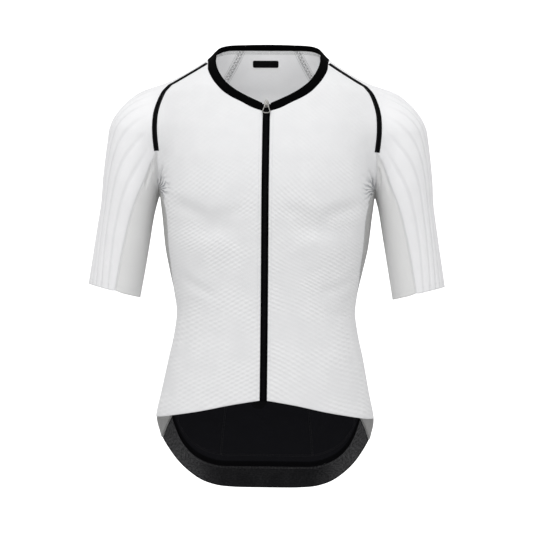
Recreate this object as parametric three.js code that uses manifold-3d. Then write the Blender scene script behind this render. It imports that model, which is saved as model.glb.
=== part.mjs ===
import * as THREE from 'three';
import { mergeVertices } from 'three/addons/utils/BufferGeometryUtils.js';
import Module from 'manifold-3d';

// A short-sleeved cycling jersey, filled out as it is worn, with nobody in it.
// Millimetres, +Z up, the chest faces -Y, and the origin is the middle of the neck opening.

// Cloth and seams
const CLOTH = 1.2;
const SEAM_GAP = 0.3;
const LAID_GAP = 0.3;
const RIB_HEIGHT = 1.1;

// The body of the garment in level sections: half width, front and back places, and squareness.
const RIDGE_Y = 5;
const BODY = [
  { z: 40, half: 79, front: -26, back: 61, power: 2.4 },
  { z: 20, half: 84, front: -34, back: 67, power: 2.4 },
  { z: 8, half: 93, front: -41, back: 71, power: 2.4 },
  { z: 0, half: 103.5, front: -47, back: 74, power: 2.35 },
  { z: -12, half: 121, front: -56, back: 79, power: 2.3 },
  { z: -24, half: 141, front: -63, back: 84, power: 2.3 },
  { z: -37, half: 164, front: -70, back: 90, power: 2.3 },
  { z: -43, half: 174, front: -74, back: 93, power: 2.35 },
  { z: -55, half: 182, front: -79, back: 97, power: 2.4 },
  { z: -85, half: 183, front: -91, back: 105, power: 2.45 },
  { z: -120, half: 179, front: -104, back: 111, power: 2.5 },
  { z: -160, half: 174, front: -114, back: 114, power: 2.55 },
  { z: -211, half: 171.5, front: -119, back: 112, power: 2.5 },
  { z: -250, half: 167, front: -117, back: 106, power: 2.4 },
  { z: -295, half: 162, front: -112, back: 99, power: 2.35 },
  { z: -335, half: 154, front: -108, back: 92, power: 2.3 },
  { z: -372, half: 146, front: -105, back: 87, power: 2.3 },
  { z: -400, half: 142.5, front: -104, back: 85, power: 2.3 },
  { z: -430, half: 146, front: -104, back: 87, power: 2.3 },
  { z: -474, half: 155.5, front: -106, back: 94, power: 2.3 },
  { z: -528, half: 166, front: -110, back: 106, power: 2.35 },
  { z: -569, half: 174, front: -113, back: 113, power: 2.4 },
  { z: -620, half: 177, front: -115, back: 118, power: 2.4 },
  { z: -710, half: 180, front: -116, back: 119, power: 2.4 },
];

// The arm on the +X side: its line from the shoulder to past the cuff, and its oval along the line.
const SHOULDER = new THREE.Vector3(205, 5, -120);
const WRISTWARD = new THREE.Vector3(243, -3, -370);
const SHOULDER_CAP = { height: 66, power: 1.7 };
const ARM = [
  { along: 0, across: 49.5, deep: 61 },
  { along: 30, across: 49, deep: 61 },
  { along: 70, across: 47.5, deep: 59 },
  { along: 125, across: 43, deep: 55 },
  { along: 190, across: 42.5, deep: 52 },
  { along: 290, across: 42.5, deep: 49 },
];
const FILLET = [
  { z: -232, size: 3.5 },
  { z: -212, size: 5 },
  { z: -190, size: 14 },
  { z: -130, size: 42 },
  { z: -90, size: 55 },
  { z: 0, size: 55 },
];

// Seam lines of the +X side, in the front view unless a row has its own y.
// face says which side of the garment a row is laid on.
const FRONT = -1;
const BACK = 1;
const ZIP_EDGE_X = 5.8;
const NECK_FRONT = [
  { x: ZIP_EDGE_X, z: -84.5, face: FRONT },
  { x: 19.5, z: -80, face: FRONT },
  { x: 39, z: -70, face: FRONT },
  { x: 56, z: -61.5, face: FRONT },
  { x: 72, z: -50, face: FRONT },
  { x: 86, z: -33, face: FRONT },
  { x: 94.5, z: -16, face: FRONT },
  { x: 96, z: -4, face: FRONT },
];
const NECK_SIDE = [
  { x: 96, z: -4, face: FRONT },
  { x: 97.5, y: -4, z: 2.5 },
  { x: 89, y: 21, z: 10 },
  { x: 76, y: 41, z: 20.5 },
  { x: 43, z: 24, face: BACK },
];
const NECK_BACK = [
  { x: 43, z: 24, face: BACK },
  { x: 22, z: 24.4, face: BACK },
  { x: 0, z: 24.5, face: BACK },
];
const COLLAR_TOP_FRONT = [
  { x: 6.5, z: -71, face: FRONT },
  { x: 28, z: -61, face: FRONT },
  { x: 49, z: -49.5, face: FRONT },
  { x: 65, z: -36.5, face: FRONT },
  { x: 77, z: -19, face: FRONT },
  { x: 82.5, z: -3, face: FRONT },
  { x: 83, z: 8.5, face: FRONT },
];
const COLLAR_TOP_SIDE = [
  { x: 83, z: 8.5, face: FRONT },
  { x: 83.5, y: 5, z: 16.5 },
  { x: 78, y: 24, z: 24 },
  { x: 66, y: 42, z: 29.5 },
  { x: 41, z: 33, face: BACK },
];
const COLLAR_TOP_BACK = [
  { x: 41, z: 33, face: BACK },
  { x: 20, z: 34, face: BACK },
  { x: 0, z: 34.3, face: BACK },
];
const SHOULDER_SEAM = [
  { x: 96, z: -4, face: FRONT },
  { x: 124, z: -22.5, face: FRONT },
  { x: 150, z: -38.5, face: FRONT },
];
const ARMHOLE_FRONT = [
  { x: 150, z: -38.5, face: FRONT },
  { x: 166.5, z: -57, face: FRONT },
  { x: 174.5, z: -80, face: FRONT },
  { x: 177, z: -104, face: FRONT },
  { x: 176.3, z: -126, face: FRONT },
  { x: 174, z: -146, face: FRONT },
];
const ARMHOLE_FRONT_LOW = [
  { x: 174, z: -146, face: FRONT },
  { x: 173.8, z: -176, face: FRONT },
  { x: 173, z: -203, face: FRONT },
];
const ARMHOLE_UNDER = [
  { x: 173, z: -203, face: FRONT },
  { x: 174, y: -14, z: -211 },
  { x: 174, y: 5, z: -213 },
  { x: 174, y: 24, z: -211 },
  { x: 173, z: -203, face: BACK },
];
const ARMHOLE_BACK_LOW = [
  { x: 173, z: -203, face: BACK },
  { x: 173, z: -186, face: BACK },
  { x: 168, z: -168, face: BACK },
];
const RAGLAN = [
  { x: 168, z: -168, face: BACK },
  { x: 140, z: -130, face: BACK },
  { x: 101, z: -77, face: BACK },
  { x: 67, z: -21, face: BACK },
  { x: 43, z: 24, face: BACK },
];
const SIDE_SEAM_FRONT = [
  { x: 173, z: -203, face: FRONT },
  { x: 163, z: -222, face: FRONT },
  { x: 157, z: -250, face: FRONT },
  { x: 154.5, z: -290, face: FRONT },
  { x: 150, z: -330, face: FRONT },
  { x: 146, y: -12, z: -368 },
  { x: 142.5, y: -4, z: -400 },
  { x: 149, y: 2, z: -446 },
  { x: 165.5, y: 6, z: -528 },
  { x: 174, y: 8, z: -568 },
];
const SIDE_SEAM_BACK = [
  { x: 173, z: -203, face: BACK },
  { x: 164, z: -224, face: BACK },
  { x: 155, z: -260, face: BACK },
  { x: 147, z: -310, face: BACK },
  { x: 135, z: -360, face: BACK },
  { x: 128, z: -400, face: BACK },
  { x: 131, z: -440, face: BACK },
  { x: 141, z: -490, face: BACK },
  { x: 149, z: -540, face: BACK },
  { x: 154, z: -573, face: BACK },
];
const FRONT_HEM = [
  { x: ZIP_EDGE_X, z: -535, face: FRONT },
  { x: 50, z: -542.5, face: FRONT },
  { x: 98, z: -553, face: FRONT },
  { x: 140, z: -561, face: FRONT },
  { x: 165, z: -566, face: FRONT },
  { x: 174, y: 8, z: -568 },
];
const SIDE_HEM = [
  { x: 174, y: 8, z: -568 },
  { x: 173.5, y: 32, z: -586 },
  { x: 167.5, z: -606, face: BACK },
];
const BAND_END = [
  { x: 167.5, z: -606, face: BACK },
  { x: 154, z: -573, face: BACK },
];
const BAND_TOP = [
  { x: 154, z: -573, face: BACK },
  { x: 146.5, z: -597, face: BACK },
  { x: 130.5, z: -627, face: BACK },
  { x: 108, z: -645.5, face: BACK },
  { x: 83, z: -655, face: BACK },
  { x: 45, z: -657, face: BACK },
  { x: 0, z: -657, face: BACK },
];
const TAIL = [
  { x: 167.5, z: -606, face: BACK },
  { x: 160, z: -622, face: BACK },
  { x: 145.5, z: -645, face: BACK },
  { x: 130.5, z: -661.5, face: BACK },
  { x: 114, z: -675, face: BACK },
  { x: 96, z: -684.5, face: BACK },
  { x: 76, z: -689.5, face: BACK },
  { x: 48, z: -692, face: BACK },
  { x: 0, z: -692.5, face: BACK },
];
const SLEEVE_FRONT_SEAM = [
  { x: 174, z: -146, face: FRONT },
  { x: 183, z: -166, face: FRONT },
  { x: 210, z: -236, face: FRONT },
  { x: 222, z: -284, face: FRONT },
  { x: 229, z: -320, face: FRONT },
  { x: 237, z: -367.5, face: FRONT },
];
const SLEEVE_BACK_SEAM = [
  { x: 168, z: -168, face: BACK },
  { x: 190, z: -205, face: BACK },
  { x: 212, z: -256, face: BACK },
  { x: 226, z: -305, face: BACK },
  { x: 237, z: -367.5, face: BACK },
];

// The cuff is a slanted cut across the sleeve.
const CUFF = { along: 252, innerX: 202, innerZ: -378, slope: 0.256 };
const RULING = { up: 150, upMore: 200, out: 66 };

// How many steps each seam takes, shared by the pieces on both sides of it.
const STEPS = {
  neckFront: 8,
  neckSide: 3,
  neckBack: 8,
  shoulder: 3,
  armholeFront: 12,
  armholeFrontLow: 4,
  armholeUnder: 5,
  armholeBackLow: 4,
  raglan: 10,
  sideSeam: 14,
  sideSeamUpper: 8,
  sleeve: 18,
  collarRows: 2,
  bandRows: 2,
};

// Collar and band walls stand this much proud of the panels on both faces
const PROUD = 0.3;

// Zip: the chain and the tapes sewn behind the front panels, the slider, and the pull on its bar
const ZIP = {
  chainHalf: 2.6, chainFront: 0.2, chainBack: 2.4, chainTop: -70.5, foot: -534.5,
  tapeFrom: 2.9, tapeTo: 13, tapeFront: CLOTH + PROUD + LAID_GAP, tapeThick: 0.8, tapeTop: -72.5,
};
const SLIDER = {
  z: -73.5, plate: 1.2, frontFace: 2, backFace: -4.1, postWidth: 2.4, postFrom: 4, postTo: 6,
  outline: [
    { x: 2.9, up: -6.6 }, { x: 4.05, up: -2.4 }, { x: 3.6, up: 2 }, { x: 2, up: 5.8 }, { x: 0.7, up: 6.8 },
  ],
};
const BRIDGE = { width: 1.8, top: 5.5, under: 4.6, lowFoot: -5.9, highFoot: 0.7, foot: 1 };
const PULL = { barUp: -2.6, barOut: 3.3, thick: 1.4, topHalf: 2.7, holeTopHalf: 1.3, half: 6.9, flare: 11.6, rim: 1.7 };
const PULL_DROP = 15;
const ZIP_PATCH = { middle: -7, half: 13, top: -521, shoulder: -535, drop: 13, thick: 1 };

// Trim laid on the panels
const TAPE = { half: 4.1, thick: 0.9, gap: 0.6, clearOfCollar: 1.2 };
const LABEL = { middle: -6.5, half: 21, top: 9, bottom: -2, thick: 0.8 };
const POCKET = {
  rows: [0.8, 1, 2, 3, 4, 5, 5.55], firstColumn: 1, lastColumn: 15, dividers: [5, 11], puff: 1.4,
  bindingRows: [0.53, 0.79], bindingThick: 1.6,
};

// Smooth reading of a table that is sorted from its highest key to its lowest, or the other way
function tableReader(table, key, column) {
  const rows = [...table].sort((a, b) => a[key] - b[key]);
  const at = rows.map((row) => row[key]);
  const value = rows.map((row) => row[column]);
  const slope = value.slice(1).map((v, i) => (v - value[i]) / (at[i + 1] - at[i]));
  const tangent = at.map((_, i) => {
    if (i === 0) return slope[0];
    if (i === at.length - 1) return slope[i - 1];
    const [before, after] = [slope[i - 1], slope[i]];
    return before * after <= 0 ? 0 : (2 * before * after) / (before + after);
  });
  return (where) => {
    if (where <= at[0]) return value[0];
    if (where >= at[at.length - 1]) return value[at.length - 1];
    let i = 0;
    while (where > at[i + 1]) i += 1;
    const width = at[i + 1] - at[i];
    const t = (where - at[i]) / width;
    const rise = value[i + 1] - value[i];
    const a = tangent[i] * width - rise;
    const b = rise - tangent[i + 1] * width;
    return value[i] + rise * t + t * (1 - t) * (a * (1 - t) + b * t);
  };
}

const bodyHalf = tableReader(BODY, 'z', 'half');
const bodyFront = tableReader(BODY, 'z', 'front');
const bodyBack = tableReader(BODY, 'z', 'back');
const bodyPower = tableReader(BODY, 'z', 'power');
const armAcross = tableReader(ARM, 'along', 'across');
const armDeep = tableReader(ARM, 'along', 'deep');
const filletSize = tableReader(FILLET, 'z', 'size');

const armLine = WRISTWARD.clone().sub(SHOULDER).normalize();
const armOut = new THREE.Vector3(0, 1, 0).cross(armLine).negate().normalize();
const armFore = armLine.clone().cross(armOut).normalize();

// How far a point lies outside the body of the garment, measured level from its middle
function outsideBody(point) {
  const power = bodyPower(point.z);
  const dx = Math.abs(point.x);
  const dy = Math.abs(point.y - RIDGE_Y);
  const depth = point.y < RIDGE_Y ? RIDGE_Y - bodyFront(point.z) : bodyBack(point.z) - RIDGE_Y;
  const share = Math.pow(Math.pow(dx / bodyHalf(point.z), power) + Math.pow(dy / depth, power), 1 / power);
  return Math.hypot(dx, dy) * (1 - 1 / Math.max(share, 1e-6));
}

// How far a point lies outside the arm
function outsideArm(point) {
  const local = new THREE.Vector3(Math.abs(point.x), point.y, point.z).sub(SHOULDER);
  const along = local.dot(armLine);
  const across = local.dot(armOut);
  const fore = local.dot(armFore);
  const cap = Math.min(along, 0);
  const { height, power } = SHOULDER_CAP;
  const oval = Math.hypot(across / armAcross(along), fore / armDeep(along));
  const share = Math.pow(Math.pow(oval, power) + Math.pow(-cap / height, power), 1 / power);
  return Math.hypot(across, fore, cap) * (1 - 1 / Math.max(share, 1e-6));
}

// The whole form: body and arms, joined by a soft fillet. Negative inside.
function outside(point) {
  const body = outsideBody(point);
  const arm = outsideArm(point);
  const size = filletSize(point.z);
  const near = Math.max(size - Math.abs(body - arm), 0) / size;
  return Math.min(body, arm) - (near * near * size) / 4;
}

function slopeOfForm(point) {
  const step = 0.05;
  const slope = new THREE.Vector3();
  for (const axis of ['x', 'y', 'z']) {
    const ahead = point.clone();
    const behind = point.clone();
    ahead[axis] += step;
    behind[axis] -= step;
    slope[axis] = (outside(ahead) - outside(behind)) / (2 * step);
  }
  return slope;
}

// Moves a point along the form's slope until it lies on the form
function settle(point) {
  const longest = 12;
  for (let turn = 0; turn < 30; turn += 1) {
    const slope = slopeOfForm(point);
    const move = slope.multiplyScalar(-outside(point) / Math.max(slope.lengthSq(), 1e-9));
    point.add(move.clampLength(0, longest));
    if (move.length() < 1e-4) break;
  }
  return point;
}

// The point where a ray from inside the form comes out of it
function comeOut(from, direction) {
  const stride = 4;
  let far = stride;
  while (outside(from.clone().addScaledVector(direction, far)) < 0) far += stride;
  let near = far - stride;
  for (let turn = 0; turn < 30; turn += 1) {
    const middle = (near + far) / 2;
    if (outside(from.clone().addScaledVector(direction, middle)) < 0) near = middle;
    else far = middle;
  }
  return from.clone().addScaledVector(direction, near);
}

function layRow(row) {
  if (row.face === undefined) return settle(new THREE.Vector3(row.x, row.y, row.z));
  return comeOut(new THREE.Vector3(row.x, RIDGE_Y, row.z), new THREE.Vector3(0, row.face, 0));
}

// Points at even steps along a smooth line through the rows of a seam table, laid on the form
function seam(rows, steps) {
  const curve = new THREE.CatmullRomCurve3(rows.map(layRow), false, 'centripetal');
  const points = curve.getSpacedPoints(steps);
  return points.map((point, i) => (i === 0 || i === steps ? point : settle(point)));
}

const chain = (...lines) => lines.reduce((all, line) => all.concat(all.length ? line.slice(1) : line), []);
const backwards = (line) => [...line].reverse();
const mirrored = (line) => line.map((point) => new THREE.Vector3(-point.x, point.y, point.z));

// A grid of points between four seams, laid on the form. Rows run from top to bottom.
// between(column, t) gives a column's point at t, and is left out for straight columns.
function panelGrid({ top, bottom, left, right, between }) {
  const rows = left.length - 1;
  const columns = top.length - 1;
  const spot = between ?? ((column, t) => top[column].clone().lerp(bottom[column], t));
  const grid = [];
  for (let r = 0; r <= rows; r += 1) {
    const t = r / rows;
    const line = [];
    for (let c = 0; c <= columns; c += 1) {
      const s = c / columns;
      if (r === 0) line.push(top[c].clone());
      else if (r === rows) line.push(bottom[c].clone());
      else if (c === 0) line.push(left[r].clone());
      else if (c === columns) line.push(right[r].clone());
      else {
        const point = spot(c, t);
        point.addScaledVector(left[r].clone().sub(spot(0, t)), 1 - s);
        point.addScaledVector(right[r].clone().sub(spot(columns, t)), s);
        line.push(settle(point));
      }
    }
    grid.push(line);
  }
  return grid;
}

const normalAt = (point) => slopeOfForm(point).normalize();

// Each point of a grid with its normal, and the grid's edges drawn in by half a seam gap
function trimmed(grid, gap = SEAM_GAP) {
  const last = { r: grid.length - 1, c: grid[0].length - 1 };
  const at = (r, c) => grid[Math.min(Math.max(r, 0), last.r)][Math.min(Math.max(c, 0), last.c)];
  const inward = (point, normal, along, towards) => {
    const across = normal.clone().cross(along).normalize();
    return across.dot(towards.clone().sub(point)) < 0 ? across.negate() : across;
  };
  const inside = (index, end) => Math.min(Math.max(index, 1), end - 1);
  return grid.map((line, r) => line.map((point, c) => {
    const normal = normalAt(point);
    const moved = point.clone();
    const towards = at(inside(r, last.r), inside(c, last.c));
    if (r === 0 || r === last.r) {
      const along = at(r, c + 1).clone().sub(at(r, c - 1));
      moved.addScaledVector(inward(point, normal, along, towards), gap / 2);
    }
    if (c === 0 || c === last.c) {
      const along = at(r + 1, c).clone().sub(at(r - 1, c));
      moved.addScaledVector(inward(point, normal, along, towards), gap / 2);
    }
    return { point: moved, normal };
  }));
}

// A closed wall over a grid: outer and inner faces at their heights above the form, and a rim
function wall(grid, outer, inner) {
  const rows = grid.length;
  const columns = grid[0].length;
  const positions = [];
  const heightOf = (height, r, c) => (typeof height === 'function' ? height(r, c) : height);
  for (const height of [outer, inner]) {
    grid.forEach((line, r) => line.forEach(({ point, normal }, c) => {
      const raised = point.clone().addScaledVector(normal, heightOf(height, r, c));
      positions.push(raised.x, raised.y, raised.z);
    }));
  }
  const id = (layer, r, c) => (layer * rows + r) * columns + c;
  const indices = [];
  const placeOf = (i) => new THREE.Vector3().fromArray(positions, 3 * i);
  const quad = (a, b, c, d) => {
    const acrossIt = placeOf(a).distanceTo(placeOf(c)) - placeOf(b).distanceTo(placeOf(d));
    if (acrossIt <= 0) indices.push(a, b, c, a, c, d);
    else indices.push(b, c, d, b, d, a);
  };
  for (let r = 0; r < rows - 1; r += 1) {
    for (let c = 0; c < columns - 1; c += 1) {
      quad(id(0, r, c), id(0, r + 1, c), id(0, r + 1, c + 1), id(0, r, c + 1));
      quad(id(1, r, c), id(1, r, c + 1), id(1, r + 1, c + 1), id(1, r + 1, c));
    }
  }
  for (let r = 0; r < rows - 1; r += 1) {
    quad(id(0, r, 0), id(1, r, 0), id(1, r + 1, 0), id(0, r + 1, 0));
    quad(id(0, r, columns - 1), id(0, r + 1, columns - 1), id(1, r + 1, columns - 1), id(1, r, columns - 1));
  }
  for (let c = 0; c < columns - 1; c += 1) {
    quad(id(0, 0, c), id(0, 0, c + 1), id(1, 0, c + 1), id(1, 0, c));
    quad(id(0, rows - 1, c), id(1, rows - 1, c), id(1, rows - 1, c + 1), id(0, rows - 1, c + 1));
  }
  const geometry = new THREE.BufferGeometry();
  geometry.setAttribute('position', new THREE.Float32BufferAttribute(positions, 3));
  geometry.setIndex(indices);
  return facingOut(geometry);
}

// Turns every face of a closed geometry round when it encloses a negative volume
function facingOut(geometry) {
  const place = geometry.attributes.position;
  const index = geometry.index;
  const corner = [0, 1, 2].map(() => new THREE.Vector3());
  let volume = 0;
  for (let i = 0; i < index.count; i += 3) {
    corner.forEach((point, k) => point.fromBufferAttribute(place, index.getX(i + k)));
    volume += corner[0].dot(corner[1].clone().cross(corner[2]));
  }
  if (volume < 0) {
    for (let i = 0; i < index.count; i += 3) {
      const kept = index.getX(i + 1);
      index.setX(i + 1, index.getX(i + 2));
      index.setX(i + 2, kept);
    }
  }
  geometry.computeVertexNormals();
  return geometry;
}

function mirroredGeometry(geometry) {
  const other = geometry.clone();
  other.scale(-1, 1, 1);
  return facingOut(other);
}

// Materials
const finish = (color, roughness, metalness = 0) => new THREE.MeshStandardMaterial({ color, roughness, metalness });
const LOOKS = {
  white: finish(0xe9eaec, 0.8),
  mesh: finish(0xd6d7d9, 0.85),
  ribbed: finish(0xe3e3e6, 0.75),
  black: finish(0x141416, 0.7),
  band: finish(0x3c3c3e, 0.9),
  zip: finish(0x101012, 0.6),
  silver: finish(0xc4c4c0, 0.3, 1),
};

const jersey = new THREE.Group();
function addPiece(name, geometry, look) {
  const mesh = new THREE.Mesh(geometry, LOOKS[look]);
  mesh.name = name;
  jersey.add(mesh);
}
function addPair(name, geometry, look) {
  addPiece(`${name}_right`, geometry, look);
  addPiece(`${name}_left`, mirroredGeometry(geometry), look);
}

// Seams of the +X side
const neckFront = seam(NECK_FRONT, STEPS.neckFront);
const neckSide = seam(NECK_SIDE, STEPS.neckSide);
const neckBack = seam(NECK_BACK, STEPS.neckBack);
const shoulderSeam = seam(SHOULDER_SEAM, STEPS.shoulder);
const armholeFront = seam(ARMHOLE_FRONT, STEPS.armholeFront);
const armholeFrontLow = seam(ARMHOLE_FRONT_LOW, STEPS.armholeFrontLow);
const armholeUnder = seam(ARMHOLE_UNDER, STEPS.armholeUnder);
const armholeBackLow = seam(ARMHOLE_BACK_LOW, STEPS.armholeBackLow);
const raglan = seam(RAGLAN, STEPS.raglan);
const sideSeamFront = seam(SIDE_SEAM_FRONT, STEPS.sideSeam);
const sideSeamBack = seam(SIDE_SEAM_BACK, STEPS.sideSeam);
const sleeveFront = seam(SLEEVE_FRONT_SEAM, STEPS.sleeve);
const sleeveBack = seam(SLEEVE_BACK_SEAM, STEPS.sleeve);
const bandEnd = seam(BAND_END, STEPS.bandRows);

const cuffMiddle = armLine.clone().multiplyScalar(CUFF.along).add(SHOULDER);
cuffMiddle.z = CUFF.innerZ + (cuffMiddle.x - CUFF.innerX) * CUFF.slope;

// Half of the cuff's rim, from its front seam to its back seam, on the outer or inner side of the arm
function cuffHalf(side, steps) {
  const outward = new THREE.Vector3(1, 0, CUFF.slope).normalize();
  const rear = new THREE.Vector3(0, 1, 0);
  const angleOf = (point) => {
    const arm = point.clone().sub(cuffMiddle);
    return Math.atan2(arm.dot(rear), arm.dot(outward));
  };
  const from = angleOf(sleeveFront[STEPS.sleeve]);
  const to = angleOf(sleeveBack[STEPS.sleeve]);
  const sweep = side > 0 ? to - from : to - from - 2 * Math.PI;
  const points = [];
  for (let i = 0; i <= steps; i += 1) {
    const angle = from + (sweep * i) / steps;
    const direction = outward.clone().multiplyScalar(Math.cos(angle)).addScaledVector(rear, Math.sin(angle));
    points.push(comeOut(cuffMiddle, direction));
  }
  points[0] = sleeveFront[STEPS.sleeve].clone();
  points[steps] = sleeveBack[STEPS.sleeve].clone();
  return points;
}

// Front panels
const frontOuter = chain(armholeFront, armholeFrontLow, sideSeamFront);
const frontTop = chain(neckFront, shoulderSeam);
const zipLine = (x, from, to, steps) => {
  const points = [];
  for (let i = 0; i <= steps; i += 1) {
    points.push(layRow({ x, z: from + ((to - from) * i) / steps, face: FRONT }));
  }
  return points;
};
const frontRows = frontOuter.length - 1;
const zipEdge = zipLine(ZIP_EDGE_X, NECK_FRONT[0].z, FRONT_HEM[0].z, frontRows);
const frontGrid = panelGrid({
  top: frontTop,
  bottom: seam(FRONT_HEM, frontTop.length - 1),
  left: zipEdge,
  right: frontOuter,
});
addPair('front', wall(trimmed(frontGrid), 0, -CLOTH), 'white');

// Side panels
const sideGrid = panelGrid({
  top: armholeUnder,
  bottom: chain(seam(SIDE_HEM, STEPS.armholeUnder - STEPS.bandRows), bandEnd),
  left: sideSeamFront,
  right: sideSeamBack,
});
addPair('side_panel', wall(trimmed(sideGrid), 0, -CLOTH), 'mesh');

// Sleeves: the outer piece fans from the armhole, shoulder, neck and raglan seams down to the cuff
const outerTop = chain(armholeFront.slice().reverse(), backwards(shoulderSeam), neckSide, backwards(raglan));
const outerColumns = outerTop.length - 1;
const cuffOuter = cuffHalf(1, outerColumns);
const overShoulder = (column, t) => {
  const reach = Math.sin((Math.PI * column) / outerColumns);
  const bend = cuffOuter[column].clone().addScaledVector(armLine, -RULING.up - RULING.upMore * reach);
  bend.addScaledVector(armOut, RULING.out * reach);
  const first = outerTop[column].clone().lerp(bend, t);
  return first.lerp(bend.lerp(cuffOuter[column], t), t);
};
const outerGrid = panelGrid({
  top: outerTop, bottom: cuffOuter, left: sleeveFront, right: sleeveBack, between: overShoulder,
});
const ribFade = (r) => THREE.MathUtils.smoothstep(r / STEPS.sleeve, 0.02, 0.3);
const ribs = (r, c) => (c % 2 === 1 ? RIB_HEIGHT * ribFade(r) : 0);
addPair('sleeve_outer', wall(trimmed(outerGrid), ribs, -CLOTH), 'ribbed');

const underTop = chain(armholeFrontLow, armholeUnder, armholeBackLow);
const underGrid = panelGrid({
  top: underTop,
  bottom: cuffHalf(-1, underTop.length - 1),
  left: sleeveFront,
  right: sleeveBack,
});
addPair('sleeve_under', wall(trimmed(underGrid), 0, -CLOTH), 'mesh');

// Back: the white upper panel, the black lower one, and the gripper band round the tail
const acrossBack = (line) => chain(mirrored(line), backwards(line));
const backSteps = STEPS.neckBack;
const split = sideSeamBack[STEPS.sideSeamUpper];
const splitLine = seam([
  { x: split.x, z: split.z, face: BACK },
  { x: split.x / 2, z: split.z - 4, face: BACK },
  { x: 0, z: split.z - 5, face: BACK },
], backSteps);
const backUpperSide = chain(backwards(raglan), backwards(armholeBackLow), sideSeamBack.slice(0, STEPS.sideSeamUpper + 1));
const backUpperGrid = panelGrid({
  top: acrossBack(neckBack),
  bottom: acrossBack(splitLine),
  left: mirrored(backUpperSide),
  right: backUpperSide,
});
addPiece('back_upper', wall(trimmed(backUpperGrid), 0, -CLOTH), 'white');

const bandTop = seam(BAND_TOP, backSteps);
const backLowerSide = sideSeamBack.slice(STEPS.sideSeamUpper);
const backLowerGrid = panelGrid({
  top: acrossBack(splitLine),
  bottom: acrossBack(bandTop),
  left: mirrored(backLowerSide),
  right: backLowerSide,
});
addPiece('back_lower', wall(trimmed(backLowerGrid), 0, -CLOTH), 'black');

const bandGrid = panelGrid({
  top: acrossBack(bandTop),
  bottom: acrossBack(seam(TAIL, backSteps)),
  left: mirrored(backwards(bandEnd)),
  right: backwards(bandEnd),
});
addPiece('hem_band', wall(trimmed(bandGrid), PROUD, -CLOTH - PROUD), 'band');

// Collar
const collarTopFront = seam(COLLAR_TOP_FRONT, STEPS.neckFront);
const collarTopSide = seam(COLLAR_TOP_SIDE, STEPS.neckSide);
const collarTopBack = seam(COLLAR_TOP_BACK, STEPS.neckBack);
const collarTop = chain(collarTopFront, collarTopSide, collarTopBack);
const collarFoot = chain(neckFront, neckSide, neckBack);
const allRound = (line) => chain(mirrored(line), backwards(line));
const collarEnd = [collarTopFront[0], collarTopFront[0].clone().lerp(neckFront[0], 0.5), neckFront[0]];
const collarGrid = panelGrid({
  top: allRound(collarTop),
  bottom: allRound(collarFoot),
  left: mirrored(collarEnd),
  right: collarEnd,
});
addPiece('collar_band', wall(trimmed(collarGrid), PROUD, -CLOTH - PROUD), 'black');

// Height of the pieces already made over a point of the form, seen from outside or from inside
const caster = new THREE.Raycaster();
function heightOver(names, point, normal, side) {
  const reach = 12;
  const meshes = names.map((name) => jersey.getObjectByName(name));
  caster.set(point.clone().addScaledVector(normal, side * reach), normal.clone().multiplyScalar(-side));
  const hit = caster.intersectObjects(meshes)[0];
  return hit && hit.distance < 2 * reach ? side * (reach - hit.distance) : 0;
}

// A wall that rests on pieces already made, a laid gap off them, on their outer or inner side
function laidWall(grid, names, thick, side = 1, gap = LAID_GAP) {
  const rest = grid.map((line) => line.map(({ point, normal }) => heightOver(names, point, normal, side)));
  const near = (r, c) => rest[r][c] + side * gap;
  const far = (r, c) => near(r, c) + side * (typeof thick === 'function' ? thick(r, c) : thick);
  return wall(grid, side > 0 ? far : near, side > 0 ? near : far);
}

const withNormals = (grid) => grid.map((line) => line.map((point) => ({ point, normal: normalAt(point) })));

// Shoulder tapes along the shoulder seam and the front armhole
const tapeLine = chain(shoulderSeam, armholeFront);
const tapeGrid = withNormals(tapeLine.map((point, i) => {
  const along = tapeLine[Math.min(i + 1, tapeLine.length - 1)].clone().sub(tapeLine[Math.max(i - 1, 0)]);
  const across = normalAt(point).cross(along).normalize();
  return [-TAPE.half, 0, TAPE.half].map((aside) => settle(point.clone().addScaledVector(across, aside)));
}));
jersey.updateMatrixWorld(true);
const tapeEnd = tapeGrid[0].map(({ point, normal }, c) => {
  const inward = tapeGrid[1][c].point.clone().sub(point).normalize();
  return { point: settle(point.clone().addScaledVector(inward, TAPE.clearOfCollar)), normal };
});
tapeGrid[0] = tapeEnd;
addPair('shoulder_tape', laidWall(tapeGrid, ['front_right', 'sleeve_outer_right'], TAPE.thick, 1, TAPE.gap), 'black');

// Zip tapes behind the front panels, and the chain between them
const tapeColumn = (x) => [
  ...zipLine(x, ZIP.tapeTop, NECK_FRONT[0].z, 2).slice(0, 2),
  ...zipLine(x, NECK_FRONT[0].z, ZIP.foot, frontRows),
];
const zipTapeColumns = [ZIP.tapeFrom, ZIP_EDGE_X, ZIP.tapeTo].map(tapeColumn);
const zipTapeGrid = withNormals(zipTapeColumns[0].map((_, r) => zipTapeColumns.map((column) => column[r])));
addPair('zip_tape', wall(zipTapeGrid, -ZIP.tapeFront, -ZIP.tapeFront - ZIP.tapeThick), 'zip');

const chainColumns = [-ZIP.chainHalf, ZIP.chainHalf].map((x) => zipLine(x, ZIP.chainTop, ZIP.foot, frontRows));
const chainGrid = withNormals(chainColumns[0].map((_, r) => chainColumns.map((column) => column[r])));
addPiece('zip_chain', wall(chainGrid, ZIP.chainFront, -ZIP.chainBack), 'zip');

const patchAcross = [-1, -0.85, -0.5, 0, 0.5, 0.85, 1];
const patchGrid = withNormals([0, 0.5, 1].map((t) => patchAcross.map((u) => {
  const foot = ZIP_PATCH.shoulder - ZIP_PATCH.drop * Math.sqrt(1 - u * u);
  return layRow({ x: ZIP_PATCH.middle + u * ZIP_PATCH.half, z: ZIP_PATCH.top + (foot - ZIP_PATCH.top) * t, face: FRONT });
})));
const patchFront = -ZIP.tapeFront - ZIP.tapeThick - LAID_GAP;
addPiece('zip_base_patch', wall(patchGrid, patchFront, patchFront - ZIP_PATCH.thick), 'black');

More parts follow.
